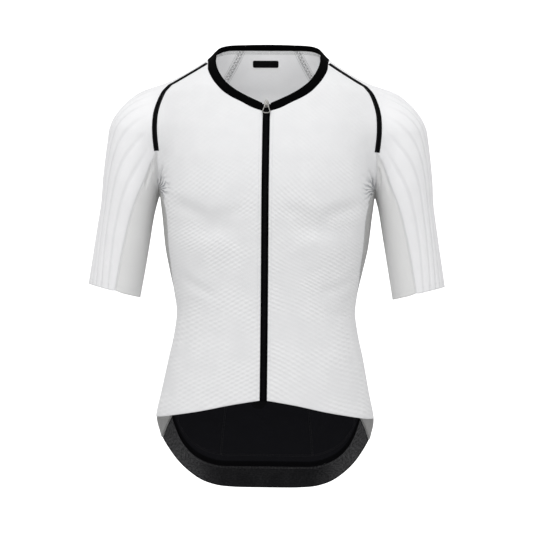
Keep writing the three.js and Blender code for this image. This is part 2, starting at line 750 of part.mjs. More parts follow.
// Slider and pull, in a frame that lies on the zip: X across, Y up the zip, Z out of it
const sliderSeat = layRow({ x: 0, z: SLIDER.z, face: FRONT });
const sliderOut = normalAt(sliderSeat);
const sliderTilt = Math.atan2(sliderOut.z, -sliderOut.y);
const sliderGroup = new THREE.Group();
sliderGroup.position.copy(sliderSeat);
sliderGroup.rotation.set(Math.PI / 2 - sliderTilt, 0, 0);
jersey.add(sliderGroup);

const wasm = await Module();
wasm.setup();
function solidOf(geometry) {
  geometry.deleteAttribute('normal');
  geometry.deleteAttribute('uv');
  const merged = mergeVertices(geometry, 1e-4);
  return new wasm.Manifold(new wasm.Mesh({
    numProp: 3,
    vertProperties: new Float32Array(merged.attributes.position.array),
    triVerts: new Uint32Array(merged.index.array),
  }));
}
function geometryOf(solid) {
  const { vertProperties, triVerts } = solid.getMesh();
  const geometry = new THREE.BufferGeometry();
  geometry.setAttribute('position', new THREE.Float32BufferAttribute(vertProperties, 3));
  geometry.setIndex([...triVerts]);
  geometry.computeVertexNormals();
  return geometry;
}
const plateShape = new THREE.Shape([
  ...SLIDER.outline.map(({ x, up }) => new THREE.Vector2(x, up)),
  ...backwards(SLIDER.outline).map(({ x, up }) => new THREE.Vector2(-x, up)),
]);
const plate = (back) => new THREE.ExtrudeGeometry(plateShape, { depth: SLIDER.plate, bevelEnabled: false })
  .translate(0, 0, back);
function block(width, lowUp, highUp, back, front) {
  return new THREE.BoxGeometry(width, highUp - lowUp, front - back)
    .translate(0, (lowUp + highUp) / 2, (back + front) / 2);
}
const sink = 0.2;
const plateTop = SLIDER.frontFace;
const sliderParts = [
  plate(SLIDER.frontFace - SLIDER.plate),
  plate(SLIDER.backFace),
  block(SLIDER.postWidth, SLIDER.postFrom, SLIDER.postTo, SLIDER.backFace + sink, plateTop - sink),
  block(BRIDGE.width, BRIDGE.lowFoot, BRIDGE.lowFoot + BRIDGE.foot, plateTop - sink, BRIDGE.top),
  block(BRIDGE.width, BRIDGE.highFoot - BRIDGE.foot, BRIDGE.highFoot, plateTop - sink, BRIDGE.top),
  block(BRIDGE.width, BRIDGE.lowFoot, BRIDGE.highFoot, BRIDGE.under, BRIDGE.top),
].map(solidOf);
const sliderSolid = sliderParts.reduce((whole, part) => whole.add(part));
const slider = new THREE.Mesh(geometryOf(sliderSolid), LOOKS.silver);
slider.name = 'zip_slider';
sliderGroup.add(slider);

// The pull: a bell-shaped loop of flat wire, wide and round at its foot
function bell(topHalf, top, half, flare, drop) {
  const shape = new THREE.Shape();
  shape.moveTo(topHalf, top);
  shape.lineTo(-topHalf, top);
  shape.lineTo(-half, -flare);
  shape.quadraticCurveTo(-half * 0.8, -drop, 0, -drop);
  shape.quadraticCurveTo(half * 0.8, -drop, half, -flare);
  return shape;
}
const pullShape = bell(PULL.topHalf, PULL.thick / 2, PULL.half, PULL.flare, PULL_DROP);
const holeHalf = PULL.half - PULL.rim;
pullShape.holes.push(bell(PULL.holeTopHalf, -PULL.thick / 2, holeHalf, PULL.flare - 0.4, PULL_DROP - PULL.rim));
const pull = new THREE.Mesh(
  new THREE.ExtrudeGeometry(pullShape, { depth: PULL.thick, bevelEnabled: false, curveSegments: 6 })
    .translate(0, 0, -PULL.thick / 2),
  LOOKS.silver,
);
pull.name = 'zip_pull';
pull.position.set(0, PULL.barUp, PULL.barOut);
sliderGroup.add(pull);

// The plain plate inside the back neck
const labelGrid = withNormals([0, 0.5, 1].map((t) => [-1, -0.5, 0, 0.5, 1].map((u) => layRow({
  x: LABEL.middle + u * LABEL.half, z: LABEL.top + (LABEL.bottom - LABEL.top) * t, face: BACK,
}))));
addPiece('neck_label', laidWall(labelGrid, ['back_upper'], LABEL.thick, -1), 'black');

// Back pockets, one panel with two dividers, and the binding along their mouths
function fromBackLower(rows) {
  return withNormals(rows.map((row) => {
    const above = Math.min(Math.floor(row), backLowerGrid.length - 2);
    const columns = backLowerGrid[above].slice(POCKET.firstColumn, POCKET.lastColumn + 1);
    return columns.map((point, i) => point.clone().lerp(backLowerGrid[above + 1][POCKET.firstColumn + i], row - above));
  }));
}
const pocketEdges = [POCKET.firstColumn, ...POCKET.dividers, POCKET.lastColumn];
const pocketPuff = (r, i) => {
  const column = i + POCKET.firstColumn;
  const next = pocketEdges.findIndex((edge) => edge >= column);
  if (pocketEdges[next] === column) return CLOTH;
  const across = (column - pocketEdges[next - 1]) / (pocketEdges[next] - pocketEdges[next - 1]);
  const down = r / (POCKET.rows.length - 1);
  return CLOTH + POCKET.puff * Math.sin(Math.PI * across) * Math.cos((Math.PI / 2) * down);
};
addPiece('pocket_panel', laidWall(fromBackLower(POCKET.rows), ['back_lower'], pocketPuff), 'black');
const pocketBinding = laidWall(fromBackLower(POCKET.bindingRows), ['back_lower'], POCKET.bindingThick);
addPiece('pocket_binding', pocketBinding, 'black');

export default jersey;
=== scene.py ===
"""A short-sleeved cycling jersey, filled out with nobody in it: its cloth, sewing, zip and light.

Sizes are in millimetres until a mesh is made, and meshes are in metres.
+Z is up, the chest faces -Y, and the origin is the middle of the neck opening.
"""

import logging
import math
from dataclasses import dataclass, field
from enum import Enum
from typing import Callable, Optional, Sequence, Union

import bmesh
import bpy
import numpy as np
from mathutils import Matrix, Vector


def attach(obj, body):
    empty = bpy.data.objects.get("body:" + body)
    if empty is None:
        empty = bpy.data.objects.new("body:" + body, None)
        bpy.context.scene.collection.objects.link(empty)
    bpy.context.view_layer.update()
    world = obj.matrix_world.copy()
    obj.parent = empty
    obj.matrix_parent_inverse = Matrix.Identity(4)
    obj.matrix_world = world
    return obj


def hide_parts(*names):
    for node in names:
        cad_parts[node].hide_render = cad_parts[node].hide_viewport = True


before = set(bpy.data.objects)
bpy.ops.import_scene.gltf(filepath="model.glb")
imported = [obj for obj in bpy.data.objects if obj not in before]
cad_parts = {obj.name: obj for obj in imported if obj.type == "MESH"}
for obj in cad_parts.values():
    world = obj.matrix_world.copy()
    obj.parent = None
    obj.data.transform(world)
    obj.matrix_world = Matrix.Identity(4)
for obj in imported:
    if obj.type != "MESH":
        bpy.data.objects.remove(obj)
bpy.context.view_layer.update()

LOG = logging.getLogger("jersey")
MM = 0.001
BODY = "garment"
RIM_ANGLE = 48.0
METAL_ANGLE = 40.0
# The colour sockets of a Mix node by number, because its sockets for numbers have the same names
MIX_SHARE, MIX_FIRST, MIX_SECOND, MIX_RESULT = 0, 6, 7, 2

Points = np.ndarray
Colour = tuple[float, float, float]


class Face(Enum):
    """The side of the garment that a point of a seam table is laid on."""

    FRONT = -1
    BACK = 1


class Side(Enum):
    """The two sides of the garment, as the front view shows them."""

    RIGHT = 1
    LEFT = -1


FRONT = Face.FRONT
BACK = Face.BACK
Spot = tuple[float, Union[float, Face], float]


def table(columns: str, *rows: tuple[float, ...]) -> list[dict[str, float]]:
    """Rows of numbers under named columns.

    Args:
        columns: The names of the columns, with spaces between them.
        rows: One tuple for each row.

    Returns:
        One dictionary for each row.
    """
    names = columns.split()
    return [dict(zip(names, row)) for row in rows]


# The body of the garment in level sections: half width, front and back places, and squareness
BODY_SECTIONS = table(
    "z half front back power",
    (40, 79, -26, 61, 2.4),
    (20, 84, -34, 67, 2.4),
    (8, 93, -41, 71, 2.4),
    (0, 103.5, -47, 74, 2.35),
    (-12, 121, -56, 79, 2.3),
    (-24, 141, -63, 84, 2.3),
    (-37, 164, -70, 90, 2.3),
    (-43, 174, -74, 93, 2.35),
    (-55, 182, -79, 97, 2.4),
    (-85, 183, -91, 105, 2.45),
    (-120, 179, -104, 111, 2.5),
    (-160, 174, -114, 114, 2.55),
    (-211, 171.5, -119, 112, 2.5),
    (-250, 167, -117, 106, 2.4),
    (-295, 162, -112, 99, 2.35),
    (-335, 154, -108, 92, 2.3),
    (-372, 146, -105, 87, 2.3),
    (-400, 142.5, -104, 85, 2.3),
    (-430, 146, -104, 87, 2.3),
    (-474, 155.5, -106, 94, 2.3),
    (-528, 166, -110, 106, 2.35),
    (-569, 174, -113, 113, 2.4),
    (-620, 177, -115, 118, 2.4),
    (-710, 180, -116, 119, 2.4),
)
# The arm on the +X side: its oval along its line
ARM_SECTIONS = table(
    "along across deep",
    (0, 49.5, 61),
    (30, 49, 61),
    (70, 47.5, 59),
    (125, 43, 55),
    (190, 42.5, 52),
    (290, 42.5, 49),
)
FILLETS = table("z size", (-232, 3.5), (-212, 5), (-190, 14), (-130, 42), (-90, 55), (0, 55))

RIDGE_Y = 5.0
SHOULDER = np.array([205.0, 5.0, -120.0])
WRISTWARD = np.array([243.0, -3.0, -370.0])
CAP_HEIGHT = 66.0
CAP_POWER = 1.7
ZIP_EDGE_X = 5.8
SLEEVE_LENGTH = 252.0
CUFF_X = 202.0
CUFF_Z = -378.0
CUFF_TILT = 0.256
# How a ruling of the outer sleeve bends: up the arm from the cuff, more so in the middle, and out
RULING_RISE = 150.0
RULING_RISE_MIDDLE = 200.0
RULING_LIFT = 66.0
SWELL = 0.35
# The step of the side seam behind at which the upper back ends
SPLIT_STEP = 8

# Seam lines of the +X side, as x, y or the face it is laid on, and z
NECK_FRONT = [
    (ZIP_EDGE_X, FRONT, -84.5), (19.5, FRONT, -80), (39, FRONT, -70), (56, FRONT, -61.5),
    (72, FRONT, -50), (86, FRONT, -33), (94.5, FRONT, -16), (96, FRONT, -4),
]
NECK_SIDE = [(96, FRONT, -4), (97.5, -4, 2.5), (89, 21, 10), (76, 41, 20.5), (43, BACK, 24)]
NECK_BACK = [(43, BACK, 24), (22, BACK, 24.4), (0, BACK, 24.5)]
COLLAR_TOP_FRONT = [
    (6.5, FRONT, -71), (28, FRONT, -61), (49, FRONT, -49.5), (65, FRONT, -36.5), (77, FRONT, -19),
    (82.5, FRONT, -3), (83, FRONT, 8.5),
]
COLLAR_TOP_SIDE = [(83, FRONT, 8.5), (83.5, 5, 16.5), (78, 24, 24), (66, 42, 29.5), (41, BACK, 33)]
COLLAR_TOP_BACK = [(41, BACK, 33), (20, BACK, 34), (0, BACK, 34.3)]
SHOULDER_SEAM = [(96, FRONT, -4), (124, FRONT, -22.5), (150, FRONT, -38.5)]
ARMHOLE_FRONT = [
    (150, FRONT, -38.5), (166.5, FRONT, -57), (174.5, FRONT, -80), (177, FRONT, -104),
    (176.3, FRONT, -126), (174, FRONT, -146),
]
ARMHOLE_FRONT_LOW = [(174, FRONT, -146), (173.8, FRONT, -176), (173, FRONT, -203)]
ARMHOLE_UNDER = [
    (173, FRONT, -203), (174, -14, -211), (174, 5, -213), (174, 24, -211), (173, BACK, -203),
]
ARMHOLE_BACK_LOW = [(173, BACK, -203), (173, BACK, -186), (168, BACK, -168)]
RAGLAN = [(168, BACK, -168), (140, BACK, -130), (101, BACK, -77), (67, BACK, -21), (43, BACK, 24)]
SIDE_SEAM_FRONT = [
    (173, FRONT, -203), (163, FRONT, -222), (157, FRONT, -250), (154.5, FRONT, -290),
    (150, FRONT, -330), (146, -12, -368), (142.5, -4, -400), (149, 2, -446), (165.5, 6, -528),
    (174, 8, -568),
]
SIDE_SEAM_BACK = [
    (173, BACK, -203), (164, BACK, -224), (155, BACK, -260), (147, BACK, -310), (135, BACK, -360),
    (128, BACK, -400), (131, BACK, -440), (141, BACK, -490), (149, BACK, -540), (154, BACK, -573),
]
FRONT_HEM = [
    (ZIP_EDGE_X, FRONT, -535), (50, FRONT, -542.5), (98, FRONT, -553), (140, FRONT, -561),
    (165, FRONT, -566), (174, 8, -568),
]
SIDE_HEM = [(174, 8, -568), (173.5, 32, -586), (167.5, BACK, -606)]
BAND_END = [(167.5, BACK, -606), (154, BACK, -573)]
BAND_TOP = [
    (154, BACK, -573), (146.5, BACK, -597), (130.5, BACK, -627), (108, BACK, -645.5),
    (83, BACK, -655), (45, BACK, -657), (0, BACK, -657),
]
TAIL = [
    (167.5, BACK, -606), (160, BACK, -622), (145.5, BACK, -645), (130.5, BACK, -661.5),
    (114, BACK, -675), (96, BACK, -684.5), (76, BACK, -689.5), (48, BACK, -692),
    (0, BACK, -692.5),
]
SLEEVE_FRONT_SEAM = [
    (174, FRONT, -146), (183, FRONT, -166), (210, FRONT, -236), (222, FRONT, -284),
    (229, FRONT, -320), (237, FRONT, -367.5),
]
SLEEVE_BACK_SEAM = [
    (168, BACK, -168), (190, BACK, -205), (212, BACK, -256), (226, BACK, -305),
    (237, BACK, -367.5),
]


class Column:
    """One column of a table, read smoothly against its key."""

    def __init__(self, rows: Sequence[dict[str, float]], key: str, column: str) -> None:
        """Sorts the rows and works out a slope at each.

        Args:
            rows: The table's rows.
            key: The column that it is read against.
            column: The column that is read.
        """
        ordered = sorted(rows, key=lambda row: row[key])
        self.at = np.array([row[key] for row in ordered], float)
        self.value = np.array([row[column] for row in ordered], float)
        slope = np.diff(self.value) / np.diff(self.at)
        before, after = slope[:-1], slope[1:]
        same = before * after > 0
        middle = np.where(same, 2 * before * after / np.where(same, before + after, 1), 0)
        self.tangent = np.concatenate([slope[:1], middle, slope[-1:]])

    def __call__(self, where: Points) -> Points:
        """The column's values where the key has these values.

        Args:
            where: The values of the key.

        Returns:
            The column at each of them.
        """
        clamped = np.clip(where, self.at[0], self.at[-1])
        i = np.clip(np.searchsorted(self.at, clamped, side="right") - 1, 0, len(self.at) - 2)
        width = self.at[i + 1] - self.at[i]
        t = (clamped - self.at[i]) / width
        rise = self.value[i + 1] - self.value[i]
        a = self.tangent[i] * width - rise
        b = rise - self.tangent[i + 1] * width
        return self.value[i] + rise * t + t * (1 - t) * (a * (1 - t) + b * t)


def unit(vectors: Points) -> Points:
    """The same directions with a length of one."""
    return vectors / np.maximum(np.linalg.norm(vectors, axis=-1, keepdims=True), 1e-9)


def smooth(low: float, high: float, value: Points) -> Points:
    """A soft step from 0 at low to 1 at high."""
    t = np.clip((value - low) / (high - low), 0, 1)
    return t * t * (3 - 2 * t)


class GarmentForm:
    """The outer form of the jersey: its body and two arms, joined by soft fillets."""

    def __init__(self) -> None:
        """Reads the section tables and sets up the arm's frame."""
        self.half = Column(BODY_SECTIONS, "z", "half")
        self.front = Column(BODY_SECTIONS, "z", "front")
        self.back = Column(BODY_SECTIONS, "z", "back")
        self.power = Column(BODY_SECTIONS, "z", "power")
        self.across = Column(ARM_SECTIONS, "along", "across")
        self.deep = Column(ARM_SECTIONS, "along", "deep")
        self.fillet = Column(FILLETS, "z", "size")
        self.arm_line = unit(WRISTWARD - SHOULDER)
        self.arm_out = unit(-np.cross((0, 1, 0), self.arm_line))
        self.arm_fore = unit(np.cross(self.arm_line, self.arm_out))

    def outside_body(self, p: Points) -> Points:
        """How far points lie outside the body, measured level from its middle.

        Args:
            p: The points, in an array whose last axis is x, y and z.

        Returns:
            One length for each point, negative inside the body.
        """
        power = self.power(p[..., 2])
        dx = np.abs(p[..., 0])
        dy = np.abs(p[..., 1] - RIDGE_Y)
        ahead = p[..., 1] < RIDGE_Y
        depth = np.where(ahead, RIDGE_Y - self.front(p[..., 2]), self.back(p[..., 2]) - RIDGE_Y)
        share = ((dx / self.half(p[..., 2])) ** power + (dy / depth) ** power) ** (1 / power)
        return np.hypot(dx, dy) * (1 - 1 / np.maximum(share, 1e-6))

    def outside_arm(self, p: Points) -> Points:
        """How far points lie outside the arm on their own side.

        Args:
            p: The points, in an array whose last axis is x, y and z.

        Returns:
            One length for each point, negative inside the arm.
        """
        local = p * 1.0
        local[..., 0] = np.abs(local[..., 0])
        local = local - SHOULDER
        along = local @ self.arm_line
        across = local @ self.arm_out
        fore = local @ self.arm_fore
        cap = np.minimum(along, 0)
        oval = np.hypot(across / self.across(along), fore / self.deep(along))
        share = (oval**CAP_POWER + (-cap / CAP_HEIGHT) ** CAP_POWER) ** (1 / CAP_POWER)
        reach = np.sqrt(across**2 + fore**2 + cap**2)
        return reach * (1 - 1 / np.maximum(share, 1e-6))

    def outside(self, p: Points) -> Points:
        """How far points lie outside the whole form, negative inside it.

        Args:
            p: The points, in an array whose last axis is x, y and z.

        Returns:
            One length for each point.
        """
        body = self.outside_body(p)
        arm = self.outside_arm(p)
        size = self.fillet(p[..., 2])
        near = np.maximum(size - np.abs(body - arm), 0) / size
        return np.minimum(body, arm) - near * near * size / 4

    def slope(self, p: Points) -> Points:
        """The direction in which points leave the form fastest.

        Args:
            p: The points, in an array whose last axis is x, y and z.

        Returns:
            One vector for each point.
        """
        step = 0.05
        parts = []
        for axis in range(3):
            move = np.zeros(3)
            move[axis] = step
            parts.append((self.outside(p + move) - self.outside(p - move)) / (2 * step))
        return np.stack(parts, axis=-1)

    def normal(self, p: Points) -> Points:
        """The outward normals of the form at points."""
        return unit(self.slope(p))

    def settle(self, p: Points, turns: int = 30) -> Points:
        """Moves points along the form's slope until they lie on it.

        Args:
            p: The points, in an array whose last axis is x, y and z.
            turns: The most moves to make.

        Returns:
            The points on the form.
        """
        longest, close = 12.0, 1e-3
        p = p * 1.0
        for _ in range(turns):
            slope = self.slope(p)
            square = np.maximum((slope**2).sum(-1), 1e-9)
            move = slope * (-self.outside(p) / square)[..., None]
            length = np.linalg.norm(move, axis=-1, keepdims=True)
            move = move * np.minimum(1, longest / np.maximum(length, 1e-9))
            p = p + move
            if length.max() < close:
                break
        return p

    def come_out(self, start: Points, direction: Points) -> Points:
        """The point where a ray from inside the form comes out of it.

        Args:
            start: The ray's start.
            direction: Its direction, one long.

        Returns:
            The point.
        """
        stride, halvings = 4.0, 30
        far = stride
        while self.outside(start + direction * far) < 0:
            far += stride
        near = far - stride
        for _ in range(halvings):
            middle = (near + far) / 2
            if self.outside(start + direction * middle) < 0:
                near = middle
            else:
                far = middle
        return start + direction * near

    def lay(self, spot: Spot) -> Points:
        """Lays one spot of a seam table on the form.

        Args:
            spot: Its x, its y or the face that it is on, and its z.

        Returns:
            The point.
        """
        x, y, z = spot
        if isinstance(y, Face):
            return self.come_out(np.array([x, RIDGE_Y, z], float), np.array([0.0, y.value, 0.0]))
        return self.settle(np.array([x, y, z], float))

    def seam(self, spots: Sequence[Spot], steps: int) -> Points:
        """Points at even steps along a smooth line through spots, laid on the form.

        Args:
            spots: The spots of a seam table.
            steps: How many steps the line has.

        Returns:
            The points, one more than the steps.
        """
        line = SmoothLine(np.array([self.lay(spot) for spot in spots])).spaced(steps)
        line[1:-1] = self.settle(line[1:-1])
        return line


def lengths_along(line: Points) -> Points:
    """The length run along a line up to each of its points."""
    return np.concatenate([[0], np.cumsum(np.linalg.norm(np.diff(line, axis=0), axis=1))])


def points_along(line: Points, at: Points) -> Points:
    """The points of a line at these lengths along it."""
    length = lengths_along(line)
    return np.stack([np.interp(at, length, line[:, axis]) for axis in range(3)], axis=1)


class SmoothLine:
    """A smooth curve through points, with a centripetal pace."""

    def __init__(self, points: Points) -> None:
        """Adds a point beyond each end.

        Args:
            points: The points that the curve passes through.
        """
        before = 2 * points[0] - points[1]
        after = 2 * points[-1] - points[-2]
        self.points = np.vstack([before, points, after])
        self.spans = len(points) - 1

    def at(self, t: float) -> Points:
        """The point at a share of the curve's parameter.

        Args:
            t: The share, from 0 to 1.

        Returns:
            The point.
        """
        place = t * self.spans
        i = min(int(place), self.spans - 1)
        w = place - i
        x0, x1, x2, x3 = self.points[i : i + 4]
        d0, d1, d2 = (max(np.sum((b - a) ** 2) ** 0.25, 1e-4) for a, b in ((x0, x1), (x1, x2), (x2, x3)))
        t1 = ((x1 - x0) / d0 - (x2 - x0) / (d0 + d1) + (x2 - x1) / d1) * d1
        t2 = ((x2 - x1) / d1 - (x3 - x1) / (d1 + d2) + (x3 - x2) / d2) * d1
        c2 = -3 * x1 + 3 * x2 - 2 * t1 - t2
        c3 = 2 * x1 - 2 * x2 + t1 + t2
        return x1 + t1 * w + c2 * w * w + c3 * w**3

    def spaced(self, steps: int) -> Points:
        """Points at even lengths along the curve.

        Args:
            steps: How many steps to take.

        Returns:
            The points, one more than the steps.
        """
        samples = 201
        share = np.linspace(0, 1, samples)
        length = lengths_along(np.array([self.at(t) for t in share]))
        places = np.interp(np.linspace(0, length[-1], steps + 1), length, share)
        return np.array([self.at(t) for t in places])


def chain(*lines: Points) -> Points:
    """Joins lines of points that share their end points."""
    return np.vstack([lines[0], *[line[1:] for line in lines[1:]]])


def mirrored(points: Points, side: Side) -> Points:
    """Points of the right side as they are, or the same points on the left side."""
    return points * np.array([side.value, 1.0, 1.0])


def named(node: str, side: Side) -> str:
    """A paired node's name on one side."""
    return f"{node}_{side.name.lower()}"


def finer(grid: Points, parts: int, axis: int) -> Points:
    """Splits each step of a grid of points into smooth parts along one axis.

    Args:
        grid: The points, rows by columns by three.
        parts: How many parts each step is split into.
        axis: 0 to add rows, 1 to add columns.

    Returns:
        The finer grid.
    """
    points = np.moveaxis(grid, axis, 0)
    ends = np.concatenate([2 * points[:1] - points[1:2], points, 2 * points[-1:] - points[-2:-1]])
    made = []
    for step in range(parts):
        t = step / parts
        p0, p1, p2, p3 = ends[:-3], ends[1:-2], ends[2:-1], ends[3:]
        bend = p3 - p0 + 3 * (p1 - p2)
        made.append(p1 + 0.5 * t * (p2 - p0 + t * (2 * p0 - 5 * p1 + 4 * p2 - p3 + t * bend)))
    line = np.stack(made, axis=1).reshape(-1, *points.shape[1:])
    return np.moveaxis(np.concatenate([line, points[-1:]]), 0, axis)


class JerseyPattern:
    """The seams of the jersey's right side, and a grid of points for each piece between them."""

    def __init__(self, form: GarmentForm) -> None:
        """Lays every seam on the form.

        Args:
            form: The form that the jersey is cut for.
        """
        self.form = form
        seam = form.seam
        self.neck_front = seam(NECK_FRONT, steps=8)
        self.neck_side = seam(NECK_SIDE, steps=3)
        self.neck_back = seam(NECK_BACK, steps=8)
        self.shoulder = seam(SHOULDER_SEAM, steps=3)
        self.armhole_front = seam(ARMHOLE_FRONT, steps=12)
        self.armhole_low = seam(ARMHOLE_FRONT_LOW, steps=4)
        self.armhole_under = seam(ARMHOLE_UNDER, steps=5)
        self.armhole_back = seam(ARMHOLE_BACK_LOW, steps=4)
        self.raglan = seam(RAGLAN, steps=10)
        self.side_front = seam(SIDE_SEAM_FRONT, steps=14)
        self.side_back = seam(SIDE_SEAM_BACK, steps=14)
        self.sleeve_front = seam(SLEEVE_FRONT_SEAM, steps=18)
        self.sleeve_back = seam(SLEEVE_BACK_SEAM, steps=18)
        self.band_end = seam(BAND_END, steps=2)
        self.band_top = seam(BAND_TOP, steps=8)
        self.front_outer = chain(self.armhole_front, self.armhole_low, self.side_front)
        self.cuff_middle = SHOULDER + form.arm_line * SLEEVE_LENGTH
        self.cuff_middle[2] = CUFF_Z + (self.cuff_middle[0] - CUFF_X) * CUFF_TILT

    def panel(
        self,
        top: Points,
        bottom: Points,
        left: Points,
        right: Points,
        between: Optional[Callable[[float], Points]] = None,
    ) -> Points:
        """A grid of points between four seams, laid on the form.

        Args:
            top: The seam along the first row.
            bottom: The seam along the last row.
            left: The seam down the first column.
            right: The seam down the last column.
            between: Gives every column's point at a share of the way down.

        Returns:
            The grid, rows by columns by three.
        """
        rows = len(left) - 1
        s = np.linspace(0, 1, len(top))[:, None]
        lines = [top]
        for r in range(1, rows):
            t = r / rows
            line = top + (bottom - top) * t if between is None else between(t)
            lines.append(line + (1 - s) * (left[r] - line[0]) + s * (right[r] - line[-1]))
        lines.append(bottom)
        grid = np.array(lines)
        grid[:, 0] = left
        grid[:, -1] = right
        grid[1:-1, 1:-1] = self.form.settle(grid[1:-1, 1:-1])
        return grid

    def level_line(self, x: float, top: float, bottom: float, steps: int) -> Points:
        """A line of points straight down the front."""
        heights = np.linspace(top, bottom, steps + 1)
        return np.array([self.form.lay((x, FRONT, z)) for z in heights])

    def cuff(self, outer: bool, steps: int) -> Points:
        """Half of the cuff's rim, from its front seam to its back seam.

        Args:
            outer: Whether it is the outer half or the half under the arm.
            steps: How many steps it has.

        Returns:
            The points, one more than the steps.
        """
        outward = unit(np.array([1, 0, CUFF_TILT]))
        rear = np.array([0.0, 1.0, 0.0])
        ends = [self.sleeve_front[-1], self.sleeve_back[-1]]
        arms = [end - self.cuff_middle for end in ends]
        angles = [math.atan2(arm @ rear, arm @ outward) for arm in arms]
        sweep = angles[1] - angles[0] - (0 if outer else 2 * math.pi)
        points = []
        for i in range(steps + 1):
            angle = angles[0] + sweep * i / steps
            way = outward * math.cos(angle) + rear * math.sin(angle)
            points.append(self.form.come_out(self.cuff_middle, way))
        points[0], points[-1] = ends
        return np.array(points)

    def front(self) -> Points:
        """The right front panel, from the zip to the armhole and the side seam.

        Returns:
            The grid, rows by columns by three.
        """
        top = chain(self.neck_front, self.shoulder)
        rows = len(self.front_outer) - 1
        hem = self.form.seam(FRONT_HEM, len(top) - 1)
        beside_zip = self.level_line(ZIP_EDGE_X, NECK_FRONT[0][2], FRONT_HEM[0][2], rows)
        return self.panel(top, hem, beside_zip, self.front_outer)

    def side_panel(self) -> Points:
        """The right mesh side panel."""
        hem = chain(self.form.seam(SIDE_HEM, 3), self.band_end)
        return self.panel(self.armhole_under, hem, self.side_front, self.side_back)

    def sleeve_outer(self) -> Points:
        """The right outer sleeve, fanning from the shoulder down to the cuff.

        Returns:
            The grid, rows by columns by three.
        """
        top = chain(self.armhole_front[::-1], self.shoulder[::-1], self.neck_side, self.raglan[::-1])
        columns = len(top) - 1
        cuff = self.cuff(True, columns)
        reach = np.sin(np.pi * np.arange(columns + 1) / columns)[:, None]
        line, out = self.form.arm_line, self.form.arm_out
        bend = cuff - line * (RULING_RISE + RULING_RISE_MIDDLE * reach) + out * RULING_LIFT * reach

        def between(t: float) -> Points:
            """Points a share of the way down each bent ruling."""
            first = top + (bend - top) * t
            return first + (bend + (cuff - bend) * t - first) * t

        return self.panel(top, cuff, self.sleeve_front, self.sleeve_back, between)

    def sleeve_under(self) -> Points:
        """The right under-sleeve."""
        top = chain(self.armhole_low, self.armhole_under, self.armhole_back)
        return self.panel(top, self.cuff(False, len(top) - 1), self.sleeve_front, self.sleeve_back)

    def across_back(self, line: Points) -> Points:
        """A line from the -X side to the +X side, from its +X half."""
        return chain(mirrored(line, Side.LEFT), line[::-1])

    def split_line(self) -> Points:
        """The seam between the upper and the lower back.

        Returns:
            The points of its right half, from the side seam to the middle.
        """
        split = self.side_back[SPLIT_STEP]
        x, z = split[0], split[2]
        return self.form.seam([(x, BACK, z), (x / 2, BACK, z - 4), (0, BACK, z - 5)], steps=8)

    def back_upper(self) -> Points:
        """The white upper back.

        Returns:
            The grid, rows by columns by three.
        """
        side = chain(self.raglan[::-1], self.armhole_back[::-1], self.side_back[: SPLIT_STEP + 1])
        top, bottom = self.across_back(self.neck_back), self.across_back(self.split_line())
        return self.panel(top, bottom, mirrored(side, Side.LEFT), side)

    def back_lower(self) -> Points:
        """The black lower back.

        Returns:
            The grid, rows by columns by three.
        """
        side = self.side_back[SPLIT_STEP:]
        top, bottom = self.across_back(self.split_line()), self.across_back(self.band_top)
        return self.panel(top, bottom, mirrored(side, Side.LEFT), side)

    def hem_band(self) -> Points:
        """The gripper band round the tail.

        Returns:
            The grid, rows by columns by three.
        """
        tail = self.across_back(self.form.seam(TAIL, 8))
        end = self.band_end[::-1]
        return self.panel(self.across_back(self.band_top), tail, mirrored(end, Side.LEFT), end)

    def collar(self) -> Points:
        """The collar band, from one side of the zip right round to the other.

        Returns:
            The grid, rows by columns by three.
        """
        seam = self.form.seam
        top = chain(seam(COLLAR_TOP_FRONT, 8), seam(COLLAR_TOP_SIDE, 3), seam(COLLAR_TOP_BACK, 8))
        foot = chain(self.neck_front, self.neck_side, self.neck_back)
        end = np.array([top[0], (top[0] + foot[0]) / 2, foot[0]])
        return self.panel(self.across_back(top), self.across_back(foot), mirrored(end, Side.LEFT), end)

    def ribbon(self, line: Points, half: float, columns: int = 2) -> Points:
        """A ribbon of points laid along a line, to both sides of it.

        Args:
            line: The ribbon's middle line.
            half: Half of its width.
            columns: How many steps it has across.

        Returns:
            The grid, one row for each point of the line.
        """
        along = np.gradient(line, axis=0)
        across = unit(np.cross(self.form.normal(line), along))
        aside = np.linspace(-half, half, columns + 1)
        return self.form.settle(line[:, None, :] + across[:, None, :] * aside[None, :, None])


@dataclass(frozen=True)
class Crease:
    """One soft trough, or a ridge where its depth is negative, with a low ridge on each side."""

    start: Spot
    end: Spot
    depth: float
    width: float


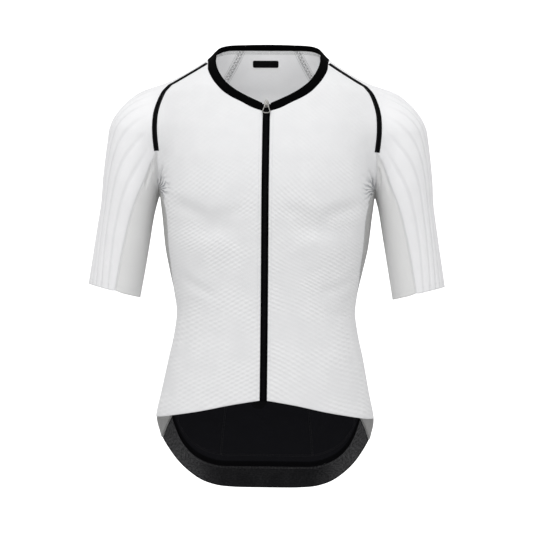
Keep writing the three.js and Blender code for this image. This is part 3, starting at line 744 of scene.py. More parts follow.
# The creases of the right side, of the left side and of the back, each as uneven as cloth is
CREASES = [
    Crease((172, FRONT, -193), (160, FRONT, -172), 3.4, 2.6),
    Crease((172, FRONT, -197), (150, FRONT, -183), 3.8, 2.8),
    Crease((171, FRONT, -201), (146, FRONT, -195), 3.4, 2.6),
    Crease((170, FRONT, -206), (150, FRONT, -207), 3.6, 2.8),
    Crease((168, FRONT, -210), (153, FRONT, -221), 3.0, 2.6),
    Crease((166, FRONT, -215), (156, FRONT, -234), 2.6, 2.6),
    Crease((177, FRONT, -172), (180, FRONT, -198), 2.6, 3.2),
    Crease((180, FRONT, -160), (197, FRONT, -214), 1.9, 4.5),
    Crease((-173, FRONT, -190), (-163, FRONT, -168), 3.2, 2.6),
    Crease((-172, FRONT, -195), (-154, FRONT, -176), 3.6, 2.8),
    Crease((-171, FRONT, -200), (-150, FRONT, -188), 3.6, 2.6),
    Crease((-170, FRONT, -204), (-152, FRONT, -202), 3.0, 2.6),
    Crease((-168, FRONT, -209), (-149, FRONT, -217), 3.6, 2.8),
    Crease((-166, FRONT, -214), (-155, FRONT, -233), 2.8, 2.6),
    Crease((-176, FRONT, -158), (-174, FRONT, -192), 3.0, 3.0),
    Crease((-181, FRONT, -168), (-192, FRONT, -205), 1.8, 4.0),
    Crease((118, FRONT, -266), (36, FRONT, -262), 5.4, 25.0),
    Crease((-120, FRONT, -262), (-40, FRONT, -266), 5.2, 25.0),
    Crease((143, FRONT, -232), (88, FRONT, -248), 3.0, 15.0),
    Crease((-143, FRONT, -229), (-86, FRONT, -250), 3.2, 15.0),
    Crease((70, FRONT, -246), (28, FRONT, -238), 1.6, 14.0),
    Crease((-70, FRONT, -248), (-30, FRONT, -239), 1.6, 14.0),
    Crease((132, FRONT, -352), (84, FRONT, -368), 1.5, 11.0),
    Crease((-128, FRONT, -346), (-76, FRONT, -376), 2.0, 11.0),
    Crease((-140, FRONT, -392), (-98, FRONT, -384), 1.4, 8.0),
    Crease((136, FRONT, -404), (92, FRONT, -398), 1.1, 8.0),
    Crease((150, BACK, -196), (118, BACK, -170), 2.8, 4.6),
    Crease((158, BACK, -206), (120, BACK, -205), 2.9, 4.2),
    Crease((156, BACK, -216), (122, BACK, -236), 2.3, 4.2),
    Crease((-152, BACK, -195), (-122, BACK, -164), 2.5, 4.4),
    Crease((-158, BACK, -205), (-116, BACK, -200), 3.0, 4.4),
    Crease((-157, BACK, -217), (-126, BACK, -243), 2.2, 4.0),
    Crease((-60, BACK, -120), (-34, BACK, -230), 2.2, 20.0),
    Crease((62, BACK, -118), (36, BACK, -236), 2.0, 20.0),
    Crease((-104, BACK, -352), (-40, BACK, -378), 2.3, 9.0),
    Crease((-96, BACK, -376), (-30, BACK, -392), 1.8, 7.0),
    Crease((108, BACK, -356), (38, BACK, -384), 2.4, 9.0),
    Crease((92, BACK, -384), (26, BACK, -400), 1.6, 7.0),
    Crease((-22, BACK, -398), (30, BACK, -402), 1.4, 7.0),
    Crease((152, 20, -346), (147, 62, -362), 1.9, 6.0),
    Crease((150, 12, -392), (142, 50, -384), 1.6, 6.0),
    Crease((-152, 18, -350), (-146, 60, -358), 1.8, 6.0),
    Crease((-150, 16, -396), (-140, 52, -386), 1.6, 6.0),
    Crease((196, BACK, -196), (206, BACK, -252), 2.0, 5.0),
    Crease((186, BACK, -188), (194, BACK, -236), 1.7, 4.2),
    Crease((-194, BACK, -194), (-207, BACK, -258), 2.0, 5.0),
    Crease((-185, BACK, -186), (-190, BACK, -230), 1.7, 4.2),
    Crease((196, 4, -226), (204, 10, -300), 1.4, 6.0),
    Crease((-196, 2, -228), (-205, 8, -296), 1.5, 6.0),
    Crease((-96, BACK, -556), (-82, BACK, -602), 2.3, 3.6),
    Crease((98, BACK, -562), (88, BACK, -596), 1.4, 3.6),
    Crease((-20, BACK, -572), (12, BACK, -600), 1.2, 5.0),
]


class CreasedForm:
    """Raises points off the form, through the creases and the cloth's slight unevenness."""

    def __init__(self, form: GarmentForm, creases: Sequence[Crease]) -> None:
        """Lays both ends of every crease on the form.

        Args:
            form: The form that the cloth lies on.
            creases: The creases.
        """
        self.form = form
        self.lines = [(form.lay(c.start), form.lay(c.end), c) for c in creases]

    def height(self, p: Points) -> Points:
        """How high the creased cloth stands off the form at points.

        Args:
            p: The points, in an array whose last axis is x, y and z.

        Returns:
            One height for each point.
        """
        total = SWELL * np.sin(p[..., 0] / 31 + 1.7 * np.sin(p[..., 2] / 57))
        total = total + SWELL * np.sin(p[..., 2] / 37 + p[..., 0] / 83 + 0.9 * np.sin(p[..., 1] / 29))
        for start, end, crease in self.lines:
            line = end - start
            along = np.clip((p - start) @ line / (line @ line), 0, 1)
            square = ((p - start - along[..., None] * line) ** 2).sum(-1)
            q = square / crease.width**2
            taper = np.clip(1.15 * np.sin(np.pi * (0.12 + 0.83 * along)), 0, 1)
            total = total - crease.depth * taper * (1 - 0.8 * q) * np.exp(-q)
        return total

    def raised(self, p: Points, height: Union[float, Points]) -> Points:
        """Points moved out from the creased cloth by a height."""
        whole = self.height(p) + height
        return p + self.form.normal(p) * whole[..., None]


class Lay:
    """A fine grid of points on the form, with each point's place in its piece."""

    def __init__(self, form: GarmentForm, grid: Points, down: int, across: int) -> None:
        """Splits a grid into finer steps and lays it on the form.

        Args:
            form: The form that the points lie on.
            grid: The coarse grid, rows by columns by three.
            down: How many parts each row step is split into.
            across: How many parts each column step is split into.
        """
        self.points = form.settle(finer(finer(grid, down, axis=0), across, axis=1), turns=6)
        rows, columns = self.points.shape[:2]
        self.t = np.linspace(0, 1, rows)[:, None] * np.ones((1, columns))
        self.s = np.linspace(0, 1, columns)[None, :] * np.ones((rows, 1))
        self.row = self.t * (grid.shape[0] - 1)
        self.column = self.s * (grid.shape[1] - 1)
        self.from_left = self._lengths(1)
        self.from_top = self._lengths(0)
        self.to_right = self.from_left[:, -1:] - self.from_left
        self.to_foot = self.from_top[-1:, :] - self.from_top
        sides = [self.from_left, self.to_right, self.from_top, self.to_foot]
        self.edge = np.minimum.reduce(sides)

    def _lengths(self, axis: int) -> Points:
        """The length run along one axis up to each point.

        Args:
            axis: 0 to run down the columns, 1 to run along the rows.

        Returns:
            One length for each point.
        """
        steps = np.linalg.norm(np.diff(self.points, axis=axis), axis=-1)
        pad = [(0, 0), (0, 0)]
        pad[axis] = (1, 0)
        return np.pad(np.cumsum(steps, axis=axis), pad)

    def uv(self) -> Points:
        """Each point's place in the flat cloth, in metres, from the piece's middle column."""
        middle = self.from_left[:, -1:] / 2
        return np.stack([self.from_left - middle, -self.from_top], axis=-1) * MM


Height = Union[float, Callable[[Lay], Points]]


def height_of(height: Height, lay: Lay) -> Points:
    """A height as one number for each point of a grid."""
    return height(lay) if callable(height) else np.full(lay.t.shape, float(height))


def to_mesh(bm: bmesh.types.BMesh, name: str) -> bpy.types.Mesh:
    """Turns a bmesh into a mesh and frees it.

    Args:
        bm: The bmesh.
        name: The mesh's name.

    Returns:
        The mesh.
    """
    mesh = bpy.data.meshes.new(name)
    bm.to_mesh(mesh)
    bm.free()
    return mesh


def add_object(name: str, data: bpy.types.ID) -> bpy.types.Object:
    """Adds an object to the scene.

    Args:
        name: The object's name.
        data: Its mesh, light or camera.

    Returns:
        The object.
    """
    made = bpy.data.objects.new(name, data)
    bpy.context.scene.collection.objects.link(made)
    return made


def wall_mesh(
    name: str, lay: Lay, outer: Points, inner: Points, notes: dict[str, Points]
) -> bpy.types.Mesh:
    """Makes a closed thin wall from a grid of points.

    The mesh keeps the notes at its points, and a note named inside: 1 on its inner face, 0 on its outer.

    Args:
        name: The mesh's name.
        lay: The grid, which gives the cloth's UV map.
        outer: The outer face's points, in millimetres.
        inner: The inner face's points, in millimetres.
        notes: Numbers for each point of the grid, kept as named attributes.

    Returns:
        The mesh, in metres, with smooth faces and sharp rims.
    """
    rows, columns = outer.shape[:2]
    sheet = bmesh.new()
    bmesh.ops.create_grid(sheet, x_segments=columns - 1, y_segments=rows - 1, size=0.5)
    place = sheet.verts.layers.int.new("place")
    for vert in sheet.verts:
        c = round((vert.co.x + 0.5) * (columns - 1))
        r = round((0.5 - vert.co.y) * (rows - 1))
        vert[place] = r * columns + c
    drawn = bmesh.ops.extrude_face_region(sheet, geom=sheet.faces[:], use_keep_orig=True)
    for part in drawn["geom"]:
        if isinstance(part, bmesh.types.BMVert):
            part[place] += rows * columns
    mesh = to_mesh(sheet, name)
    where = np.zeros(len(mesh.vertices), np.int32)
    mesh.attributes["place"].data.foreach_get("value", where)
    both = np.concatenate([outer.reshape(-1, 3), inner.reshape(-1, 3)]) * MM
    mesh.vertices.foreach_set("co", both[where].astype(np.float32).ravel())
    spot = where % (rows * columns)
    marks = {"inside": where >= rows * columns}
    marks.update({label: values.reshape(-1)[spot] for label, values in notes.items()})
    for label, values in marks.items():
        mark = mesh.attributes.new(label, "FLOAT", "POINT")
        mark.data.foreach_set("value", values.astype(np.float32))
    corner = np.zeros(len(mesh.loops), np.int32)
    mesh.loops.foreach_get("vertex_index", corner)
    flat = lay.uv().reshape(-1, 2)[spot][corner]
    mesh.uv_layers.new(name="cloth").data.foreach_set("uv", flat.astype(np.float32).ravel())
    mesh.attributes.remove(mesh.attributes["place"])
    shell = bmesh.new()
    shell.from_mesh(mesh)
    bmesh.ops.recalc_face_normals(shell, faces=shell.faces[:])
    shell.to_mesh(mesh)
    shell.free()
    smoothed(mesh, RIM_ANGLE)
    return mesh


def smoothed(mesh: bpy.types.Mesh, angle: float) -> None:
    """Shades a mesh smooth but for the edges above an angle in degrees."""
    mesh.shade_smooth()
    mesh.set_sharp_from_angle(angle=math.radians(angle))


def put(name: str, mesh: bpy.types.Mesh, finish: bpy.types.Material, slot: str) -> bpy.types.Object:
    """Adds a piece to the scene, riding on the garment.

    Args:
        name: The piece's name.
        mesh: Its mesh, in metres.
        finish: Its material.
        slot: The record's material slot; not used.

    Returns:
        The new object.
    """
    piece = add_object(name, mesh)
    mesh.materials.append(finish)
    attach(piece, BODY)
    LOG.info("%s: %d faces", name, len(mesh.polygons))
    return piece


class Signal:
    """A shader socket that takes part in sums written as Python expressions."""

    def __init__(self, board: "Board", socket: bpy.types.NodeSocket) -> None:
        """Keeps the board and the socket."""
        self.board = board
        self.socket = socket

    def __add__(self, other: "Value") -> "Signal":
        """This plus other."""
        return self.board.maths("ADD", self, other)

    __radd__ = __add__

    def __sub__(self, other: "Value") -> "Signal":
        """This less other."""
        return self.board.maths("SUBTRACT", self, other)

    def __rsub__(self, other: "Value") -> "Signal":
        """Other less this."""
        return self.board.maths("SUBTRACT", other, self)

    def __mul__(self, other: "Value") -> "Signal":
        """This times other."""
        return self.board.maths("MULTIPLY", self, other)

    __rmul__ = __mul__

    def __abs__(self) -> "Signal":
        """This without its sign."""
        return self.board.maths("ABSOLUTE", self)

    def wave(self, pitch: float) -> "Signal":
        """An even wave from 0 to 1 that repeats at each pitch."""
        return self.board.maths("SINE", self * (2 * math.pi / pitch)) * 0.5 + 0.5

    def least(self, other: "Value") -> "Signal":
        """The smaller of this and other."""
        return self.board.maths("MINIMUM", self, other)

    def step(self, low: float, high: float) -> "Signal":
        """A soft step from 0 at low to 1 at high."""
        settings = {"interpolation_type": "SMOOTHSTEP"}
        return self.board.node("MapRange", settings, {"Value": self, "From Min": low, "From Max": high})


Value = Union[Signal, float]
Sockets = dict[Union[str, int], object]


class Board:
    """The node tree of one finish."""

    def __init__(self, name: str) -> None:
        """Starts an empty material.

        Args:
            name: The material's name.
        """
        self.material = bpy.data.materials.new(name)
        self.material.use_nodes = True
        self.tree = self.material.node_tree
        self.tree.nodes.clear()

    def raw(self, kind: str, settings: dict[str, object], sockets: Sockets) -> bpy.types.Node:
        """Makes any node.

        Args:
            kind: The node's type, without its first words.
            settings: Its own settings, which are set first.
            sockets: A value or a link for each named or numbered input.

        Returns:
            The node.
        """
        made = self.tree.nodes.new("ShaderNode" + kind)
        for key, value in settings.items():
            setattr(made, key, value)
        for key, value in sockets.items():
            if isinstance(value, Signal):
                self.tree.links.new(value.socket, made.inputs[key])
            else:
                made.inputs[key].default_value = value
        return made

    def node(
        self, kind: str, settings: dict[str, object], sockets: Sockets, output: Union[str, int] = 0
    ) -> Signal:
        """Makes any node and gives one of its outputs."""
        return Signal(self, self.raw(kind, settings, sockets).outputs[output])

    def maths(self, operation: str, *values: Value) -> Signal:
        """Works out one sum of numbers."""
        return self.node("Math", {"operation": operation}, dict(enumerate(values)))

    def mix(self, share: Value, first: object, second: object) -> Signal:
        """Mixes two colours.

        Args:
            share: The second colour's share, from 0 to 1.
            first: The first colour.
            second: The second colour.

        Returns:
            The mixed colour.
        """
        settings = {"data_type": "RGBA", "blend_type": "MIX"}
        sockets = {MIX_SHARE: share, MIX_FIRST: solid(first), MIX_SECOND: solid(second)}
        return self.node("Mix", settings, sockets, MIX_RESULT)

    def place(self) -> Signal:
        """The point's place in the row frame, in metres."""
        return self.node("TexCoord", {}, {}, "Object")

    def parts(self, vector: Signal) -> tuple[Signal, Signal, Signal]:
        """The three parts of a vector in metres, in millimetres."""
        split = self.raw("SeparateXYZ", {}, {0: vector})
        return tuple(Signal(self, split.outputs[i]) * (1 / MM) for i in range(3))

    def cloth(self) -> tuple[Signal, Signal]:
        """The point's place in the flat cloth, across and down, in millimetres."""
        across, down, _ = self.parts(self.node("UVMap", {"uv_map": "cloth"}, {}))
        return across, down

    def note(self, name: str) -> Signal:
        """A number that the piece keeps at each point."""
        return self.node("Attribute", {"attribute_name": name}, {}, "Fac")

    def noise(self, vector: Signal, scale: float, detail: float = 2.0) -> Signal:
        """Smooth uneven values about 0.5."""
        return self.node("TexNoise", {}, {"Vector": vector, "Scale": scale, "Detail": detail})

    def bump(self, height: Signal, relief: float, under: Optional[Signal] = None) -> Signal:
        """A normal raised by a height.

        Args:
            height: The height, from 0 to 1.
            relief: What a height of 1 stands for, in millimetres.
            under: The normal that this one is added to, or None for the mesh's own.

        Returns:
            The normal.
        """
        sockets: Sockets = {"Height": height, "Distance": relief * MM, "Strength": 1.0}
        if under is not None:
            sockets["Normal"] = under
        return self.node("Bump", {}, sockets)

    def surface(self, sockets: Sockets) -> bpy.types.Material:
        """Ends the tree in a surface shader.

        Args:
            sockets: A value or a link for each of the shader's named inputs.

        Returns:
            The finished material.
        """
        shader = self.node("BsdfPrincipled", {}, sockets)
        self.raw("OutputMaterial", {}, {"Surface": shader})
        return self.material


def solid(colour: object) -> object:
    """A colour as a socket holds it, or a link left as it is."""
    return colour if isinstance(colour, Signal) else (*colour, 1.0)


BLACK: Colour = (0.0, 0.0, 0.0)
UNDERARM_X = 173.0
UNDERARM_Z = -204.0


class Surface(Enum):
    """How a knit's face is made."""

    CHEVRON = "fine ridges that rise toward the zip"
    RIBBED = "smooth wales between raised ribs"
    MESH = "small holes in even rows"
    PLAIN = "close fine loops"
    HEATHER = "mottled elastic with a ribbed face"


@dataclass(frozen=True)
class Knit:
    """A knitted cloth: its two tones, its face and its fine loops, with lengths in millimetres.

    The painted glow is light painted on the cloth's inner face alone, as emission, and stands for the
    light that comes through the cloth.
    """

    name: str
    light: Colour
    dark: Colour
    face: Surface
    roughness: float = 0.85
    sheen: float = 0.04
    relief: float = 0.25
    loop: float = 1.0
    gloss: float = 0.12
    painted_glow: float = 0.0
    loop_relief: float = 0.06
    edge_roll: float = 0.5
    rising_pitch: float = 7.4
    falling_pitch: float = 8.2
    gather_reach: float = 27.0
    gather_relief: float = 2.2
    wale_pitch: float = 1.5

    def _loops(self, board: Board) -> Signal:
        """Small staggered loops in the flat cloth.

        Args:
            board: The finish's node tree.

        Returns:
            1 on the loops and 0 between them.
        """
        across, down = board.cloth()
        lean = across + down.wave(self.loop * 2) * self.loop * 0.5
        return lean.wave(self.loop) * down.wave(self.loop * 0.9)

    def _chevron(self, board: Board) -> Signal:
        """Ridges that rise toward the zip, clearest low down, crossed by fainter ones.

        Args:
            board: The finish's node tree.

        Returns:
            1 on the ridges and 0 between them.
        """
        x, _, z = board.parts(board.place())
        wander = board.noise(board.place(), 7.0, 1.0) * 34.0
        lean = z.step(-420.0, -220.0) * 0.35 + 0.45
        rising = (z + abs(x) * lean + wander).wave(self.rising_pitch)
        falling = (z - abs(x) * 0.6 + wander).wave(self.falling_pitch)
        clear = 1.0 - z.step(-250.0, -120.0) * 0.8
        patchy = board.noise(board.place(), 22.0).step(0.36, 0.62) * 0.8 + 0.2
        return (rising * 0.65 + falling * 0.35) * clear * patchy

    def _gathers(self, board: Board) -> Signal:
        """Short sharp folds that spread from the underarm, which also darken the colour as painted shade.

        Args:
            board: The finish's node tree.

        Returns:
            1 in the folds and 0 elsewhere.
        """
        x, _, z = board.parts(board.place())
        aside, up = abs(x) - UNDERARM_X, z - UNDERARM_Z
        reach = board.maths("SQRT", aside * aside + up * up)
        turn = board.maths("ARCTAN2", up, aside) + board.noise(board.place(), 45.0) * 1.1
        return turn.wave(0.46).step(0.35, 0.95) * (1.0 - reach.step(5.0, self.gather_reach))

    def _mesh(self, board: Board) -> Signal:
        """Holes in rows, each row half a step from the last.

        Args:
            board: The finish's node tree.

        Returns:
            0 in the holes and 1 between them.
        """
        across, down = board.cloth()
        pitch = self.loop * 2
        first = across.wave(pitch) * down.wave(pitch)
        second = (across + pitch / 2).wave(pitch) * (down + pitch / 2).wave(pitch)
        return 1.0 - board.maths("MAXIMUM", first, second).step(0.55, 0.85)

    def _heather(self, board: Board) -> Signal:
        """Short flecks along the band, and a fine rib across it.

        Args:
            board: The finish's node tree.

        Returns:
            1 on the pale flecks and 0 between them.
        """
        across, down = board.cloth()
        vector = board.node("CombineXYZ", {}, {0: across * 0.35, 1: down * 1.1, 2: 0.0})
        fleck = board.noise(vector, 0.75).step(0.34, 0.64)
        return fleck * 0.85 + across.wave(3.2) * 0.15

    def _faced(self, board: Board) -> tuple[Value, Signal]:
        """The cloth's face: loops and rolled edges, and what its kind of face adds.

        Args:
            board: The finish's node tree.

        Returns:
            The dark tone's share and the normal.
        """
        loops = self._loops(board)
        edge = board.note("edge")
        drawn = 1.0 - edge.step(0.2, 2.2)
        share: Value = loops * 0.12 + drawn * 0.16
        fine = board.bump(loops, self.loop_relief, board.bump(edge.step(0.0, 2.4), self.edge_roll))
        if self.face is Surface.CHEVRON:
            # The underarm folds are raised in the bump and also darkened in the colour as painted shade.
            ridge, fold_and_shade = self._chevron(board), self._gathers(board)
            folded = board.bump(1.0 - fold_and_shade, self.gather_relief, fine)
            # The troughs between the ridges are painted darker as well, as painted shade.
            return share + (1.0 - ridge) * 0.15 + fold_and_shade * 1.2, board.bump(ridge, self.relief, folded)
        if self.face is Surface.MESH:
            net = self._mesh(board)
            # Painted shade: the holes are painted dark for the shade seen through them, and no light
            # passes through them.
            return share + (1.0 - net) * 0.75, board.bump(net, self.relief, fine)
        if self.face is Surface.HEATHER:
            fleck = self._heather(board)
            x, _, _ = board.parts(board.place())
            outward = abs(x).step(70.0, 150.0) * 0.88 + 0.12
            return 1.0 - fleck * edge.step(0.8, 2.0) * outward, board.bump(fleck, self.relief, fine)
        if self.face is Surface.RIBBED:
            # Painted shade: the grooves between the raised ribs are painted darker, more so where the ribs
            # have risen.
            groove_shade = 1.0 - board.note("rib").step(0.0, 0.75)
            wales = board.cloth()[0].wave(self.wale_pitch)
            share = share + groove_shade * 0.24 * board.note("rib_shown") + (1.0 - wales) * 0.05
            return share, board.bump(wales, self.loop_relief, fine)
        return share + (1.0 - edge.step(7.0, 9.5)) * 0.75, fine

    def dress(self) -> bpy.types.Material:
        """Makes the material.

        Returns:
            The material.
        """
        board = Board(self.name)
        share, normal = self._faced(board)
        mottle = board.noise(board.place(), 38.0).step(0.3, 0.7) * 0.05
        return board.surface(
            {
                "Base Color": board.mix((share + mottle).least(1.0), self.light, self.dark),
                "Roughness": self.roughness,
                "Normal": normal,
                "Sheen Weight": self.sheen,
                "Sheen Roughness": 0.5,
                "Specular IOR Level": self.gloss,
                # Painted light: the inner face glows as emission, for the light that comes through the
                # cloth.
                "Emission Color": board.mix(board.note("inside"), BLACK, (self.painted_glow,) * 3),
                "Emission Strength": 1.0,
            }
        )


@dataclass(frozen=True)
class Ribbon:
    """A woven tape with fine cross ribs and firm edges."""

    name: str
    tone: Colour
    worn: Colour
    pitch: float = 0.9
    roughness: float = 0.55
    sheen: float = 0.003
    gloss: float = 0.02

    def dress(self) -> bpy.types.Material:
        """Makes the material.

        Returns:
            The material.
        """
        board = Board(self.name)
        across, down = board.cloth()
        twill = (across + down).wave(self.pitch) * 0.6 + (across - down).wave(self.pitch * 1.7) * 0.4
        edge = board.note("edge")
        roll = board.bump(edge.step(0.0, 1.2), 0.35)
        rubbed = (1.0 - edge.step(0.1, 1.0)) * board.noise(board.place(), 160.0).step(0.45, 0.75)
        tone = board.mix(rubbed * 0.6 + twill * 0.15, self.tone, self.worn)
        return board.surface(
            {
                "Base Color": tone,
                "Roughness": self.roughness,
                "Normal": board.bump(twill, 0.08, roll),
                "Sheen Weight": self.sheen,
                "Specular IOR Level": self.gloss,
            }
        )


@dataclass(frozen=True)
class Thread:
    """Twisted sewing thread."""

    name: str
    tone: Colour
    shade: Colour
    roughness: float = 0.6
    twist: float = 0.7

    def dress(self) -> bpy.types.Material:
        """Makes the material.

        Returns:
            The material.
        """
        board = Board(self.name)
        x, y, z = board.parts(board.place())
        twist = (x + y + z).wave(self.twist)
        tone = board.mix(twist * 0.5, self.tone, self.shade)
        relief = board.bump(twist, 0.05)
        return board.surface({"Base Color": tone, "Roughness": self.roughness, "Normal": relief})


@dataclass(frozen=True)
class Hard:
    """Metal or moulded plastic, slightly worn."""

    name: str
    tone: Colour
    worn: Colour
    metallic: float
    roughness: float
    gloss: float = 0.5

    def dress(self) -> bpy.types.Material:
        """Makes the material.

        Returns:
            The material.
        """
        board = Board(self.name)
        scuff = board.noise(board.place(), 900.0, 3.0)
        cloud = board.noise(board.place(), 180.0).step(0.35, 0.7)
        return board.surface(
            {
                "Base Color": board.mix(cloud * 0.6, self.tone, self.worn),
                "Metallic": self.metallic,
                "Roughness": scuff * 0.16 + cloud * 0.08 + self.roughness,
                "Normal": board.bump(scuff, 0.012),
                "Specular IOR Level": self.gloss,
            }
        )


class Finishes:
    """Every finish of the jersey, made once."""

    def __init__(self) -> None:
        """Makes the materials."""
        self.white = Knit(
            "white_knit", (0.845, 0.845, 0.85), (0.46, 0.47, 0.49), Surface.CHEVRON,
            relief=0.55, painted_glow=0.11,
        ).dress()
        self.rib = Knit(
            "ribbed_knit", (0.87, 0.87, 0.88), (0.56, 0.56, 0.575), Surface.RIBBED,
            loop=0.8, painted_glow=0.11,
        ).dress()
        self.mesh = Knit(
            "grey_mesh", (0.58, 0.58, 0.575), (0.24, 0.24, 0.235), Surface.MESH, relief=0.2,
        ).dress()
        self.under = Knit(
            "under_sleeve_mesh", (0.83, 0.83, 0.825), (0.60, 0.60, 0.60), Surface.MESH,
            relief=0.1, loop=0.7,
        ).dress()
        self.back = Knit(
            "black_knit", (0.0085, 0.0085, 0.0105), (0.0006, 0.0006, 0.0008), Surface.PLAIN,
            sheen=0.01, gloss=0.04,
        ).dress()
        self.collar = Knit(
            "collar_black", (0.0018, 0.0018, 0.002), (0.0006, 0.0006, 0.0008), Surface.PLAIN,
            roughness=0.8, sheen=0.004, loop=0.7, gloss=0.02,
        ).dress()
        self.gripper = Knit(
            "gripper_grey", (0.115, 0.115, 0.118), (0.009, 0.009, 0.010), Surface.HEATHER,
            roughness=0.9, sheen=0.01, gloss=0.05,
        ).dress()
        self.tape = Ribbon("black_tape", (0.0022, 0.0022, 0.0025), (0.012, 0.012, 0.013)).dress()
        self.zip_tape = Ribbon(
            "zip_tape", (0.0008, 0.0008, 0.001), (0.003, 0.003, 0.0035), pitch=0.7,
        ).dress()
        self.coil = Hard(
            "zip_coil", (0.004, 0.004, 0.005), (0.008, 0.008, 0.009),
            metallic=0.0, roughness=0.55, gloss=0.05,
        ).dress()
        self.metal = Hard(
            "zip_metal", (0.24, 0.235, 0.225), (0.12, 0.118, 0.11), metallic=1.0, roughness=0.24,
        ).dress()
        self.label = Hard(
            "label_black", (0.0012, 0.0012, 0.0014), (0.004, 0.004, 0.005),
            metallic=0.0, roughness=0.5, gloss=0.06,
        ).dress()
        self.grey_thread = Thread("grey_thread", (0.13, 0.13, 0.135), (0.05, 0.05, 0.052)).dress()
        self.white_thread = Thread("white_thread", (0.74, 0.745, 0.76), (0.45, 0.45, 0.47)).dress()
        self.black_thread = Thread("black_thread", (0.02, 0.02, 0.022), (0.006, 0.006, 0.007)).dress()


@dataclass(frozen=True)
class Cut:
    """The flat piece that a cloth piece was cut from: width, length and area as a share of both."""

    width: float
    length: float
    share: float = 1.0


class Tailor:
    """Makes cloth pieces on the creased form."""

    def __init__(self, creased: CreasedForm) -> None:
        """Keeps the creased form.

        Args:
            creased: The form that the cloth is laid on, with its creases.
        """
        self.creased = creased
        self.form = creased.form

    def wall(
        self, name: str, lay: Lay, outer: Height, inner: Height, notes: Optional[dict[str, Points]] = None
    ) -> bpy.types.Mesh:
        """Makes a thin wall between two heights above the form.

        Args:
            name: The mesh's name.
            lay: The wall's fine grid.
            outer: The outer face's height.
            inner: The inner face's height.
            notes: More numbers for each point of the grid.

        Returns:
            The mesh.
        """
        high = self.creased.raised(lay.points, height_of(outer, lay))
        low = self.creased.raised(lay.points, height_of(inner, lay))
        return wall_mesh(name, lay, high, low, {"edge": lay.edge, **(notes or {})})

    def cloth(
        self,
        node: str,
        lay: Lay,
        finish: bpy.types.Material,
        slot: str,
        cut: Cut,
        rests_on: Sequence[str],
        outer: Height = 0.0,
        inner: Height = -0.9,
        notes: Optional[dict[str, Points]] = None,
    ) -> bpy.types.Object:
        """Makes one cloth piece that stands for a CAD node.

        Args:
            node: The CAD node.
            lay: The fine grid of the piece.
            finish: Its material.
            slot: The record's material slot.
            cut: The flat piece that it was cut from.
            rests_on: What holds it; not used.
            outer: The outer face's height above the form.
            inner: The inner face's height above the form.
            notes: More numbers for each point of the grid.

        Returns:
            The new piece.
        """
        mesh = self.wall(node + "_cloth", lay, outer, inner, notes)
        piece = put(node + "_cloth", mesh, finish, slot)
        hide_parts(node)
        area = cut.share * cut.width * cut.length
        size = sum(polygon.area for polygon in mesh.polygons) / 2
        wide, tall = lay.from_left[:, -1].max(), lay.from_top[-1].max()
        LOG.info("%s lies flat in %.0f x %.0f mm, area %.4f m2, cut %.4f", node, wide, tall, size, area)
        return piece


@dataclass
class Part:
    """A sub-assembly, which the tailor makes from the pattern and the finishes dress."""

    tailor: Tailor
    pattern: JerseyPattern
    finishes: Finishes

    def _lay(self, grid: Points, down: int, across: int) -> Lay:
        """A grid of the pattern, split into finer steps."""
        return Lay(self.tailor.form, grid, down, across)

    def build(self) -> None:
        """Makes the sub-assembly's pieces."""
        raise NotImplementedError


@dataclass
class FrontPanels(Part):
    """The two front panels, with a folded edge beside the zip."""

    welt: float = 5.0
    welt_rise: float = 0.35

    def _rise(self, lay: Lay) -> Points:
        """The folded edge beside the zip, softly raised, and rounded at its lip.

        Args:
            lay: The panel's grid.

        Returns:
            One height for each point.
        """
        from_zip = lay.from_left
        fold_and_shade = self.welt_rise * (1 - smooth(self.welt - 1, self.welt + 1.5, from_zip))
        lip = -0.3 * (1 - smooth(0, 1.2, from_zip))
        return fold_and_shade + lip

    def build(self) -> None:
        """Makes both panels."""
        grid = self.pattern.front()
        for side in Side:
            lay = self._lay(mirrored(grid, side), down=5, across=8)
            self.tailor.cloth(
                named("front", side), lay, self.finishes.white, "white_knit",
                Cut(0.29, 0.56, 0.62), [named("shoulder_tape", side), "collar_band"],
                outer=self._rise,
            )


@dataclass
class SidePanels(Part):
    """The narrow mesh panels under the arms."""

    def build(self) -> None:
        """Makes both panels."""
        grid = self.pattern.side_panel()
        for side in Side:
            lay = self._lay(mirrored(grid, side), down=9, across=8)
            self.tailor.cloth(
                named("side_panel", side), lay, self.finishes.mesh, "grey_mesh",
                Cut(0.12, 0.40, 0.6), [named("front", side), "back_upper"],
            )


@dataclass
class Sleeves(Part):
    """The ribbed outer sleeves and the mesh under-sleeves."""

    rib_height: float = 1.1
    groove_width: float = 0.34

    def _rib(self, lay: Lay) -> Points:
        """Each point's share of a rib's height: 1 on the ribs and 0 in the grooves."""
        away = np.abs((lay.column + 1) % 2 - 1)
        return 1 - np.exp(-((away / self.groove_width) ** 2))

    def _shown(self, lay: Lay) -> Points:
        """How far the ribs have risen on their way down from the shoulder."""
        return smooth(0.02, 0.3, lay.t)

    def build(self) -> None:
        """Makes both sleeves."""
        outer, under = self.pattern.sleeve_outer(), self.pattern.sleeve_under()
        for side in Side:
            lay = self._lay(mirrored(outer, side), down=6, across=8)
            rib, shown = self._rib(lay), self._shown(lay)
            self.tailor.cloth(
                named("sleeve_outer", side), lay, self.finishes.rib, "ribbed_knit",
                Cut(0.42, 0.36, 0.55), [named("shoulder_tape", side), "collar_band"],
                outer=lambda _, high=rib * shown: self.rib_height * high,
                notes={"rib": rib, "rib_shown": shown},
            )
            lay = self._lay(mirrored(under, side), down=7, across=6)
            self.tailor.cloth(
                named("sleeve_under", side), lay, self.finishes.under, "grey_mesh",
                Cut(0.19, 0.235, 0.56), [named("sleeve_outer", side), named("front", side)],
            )


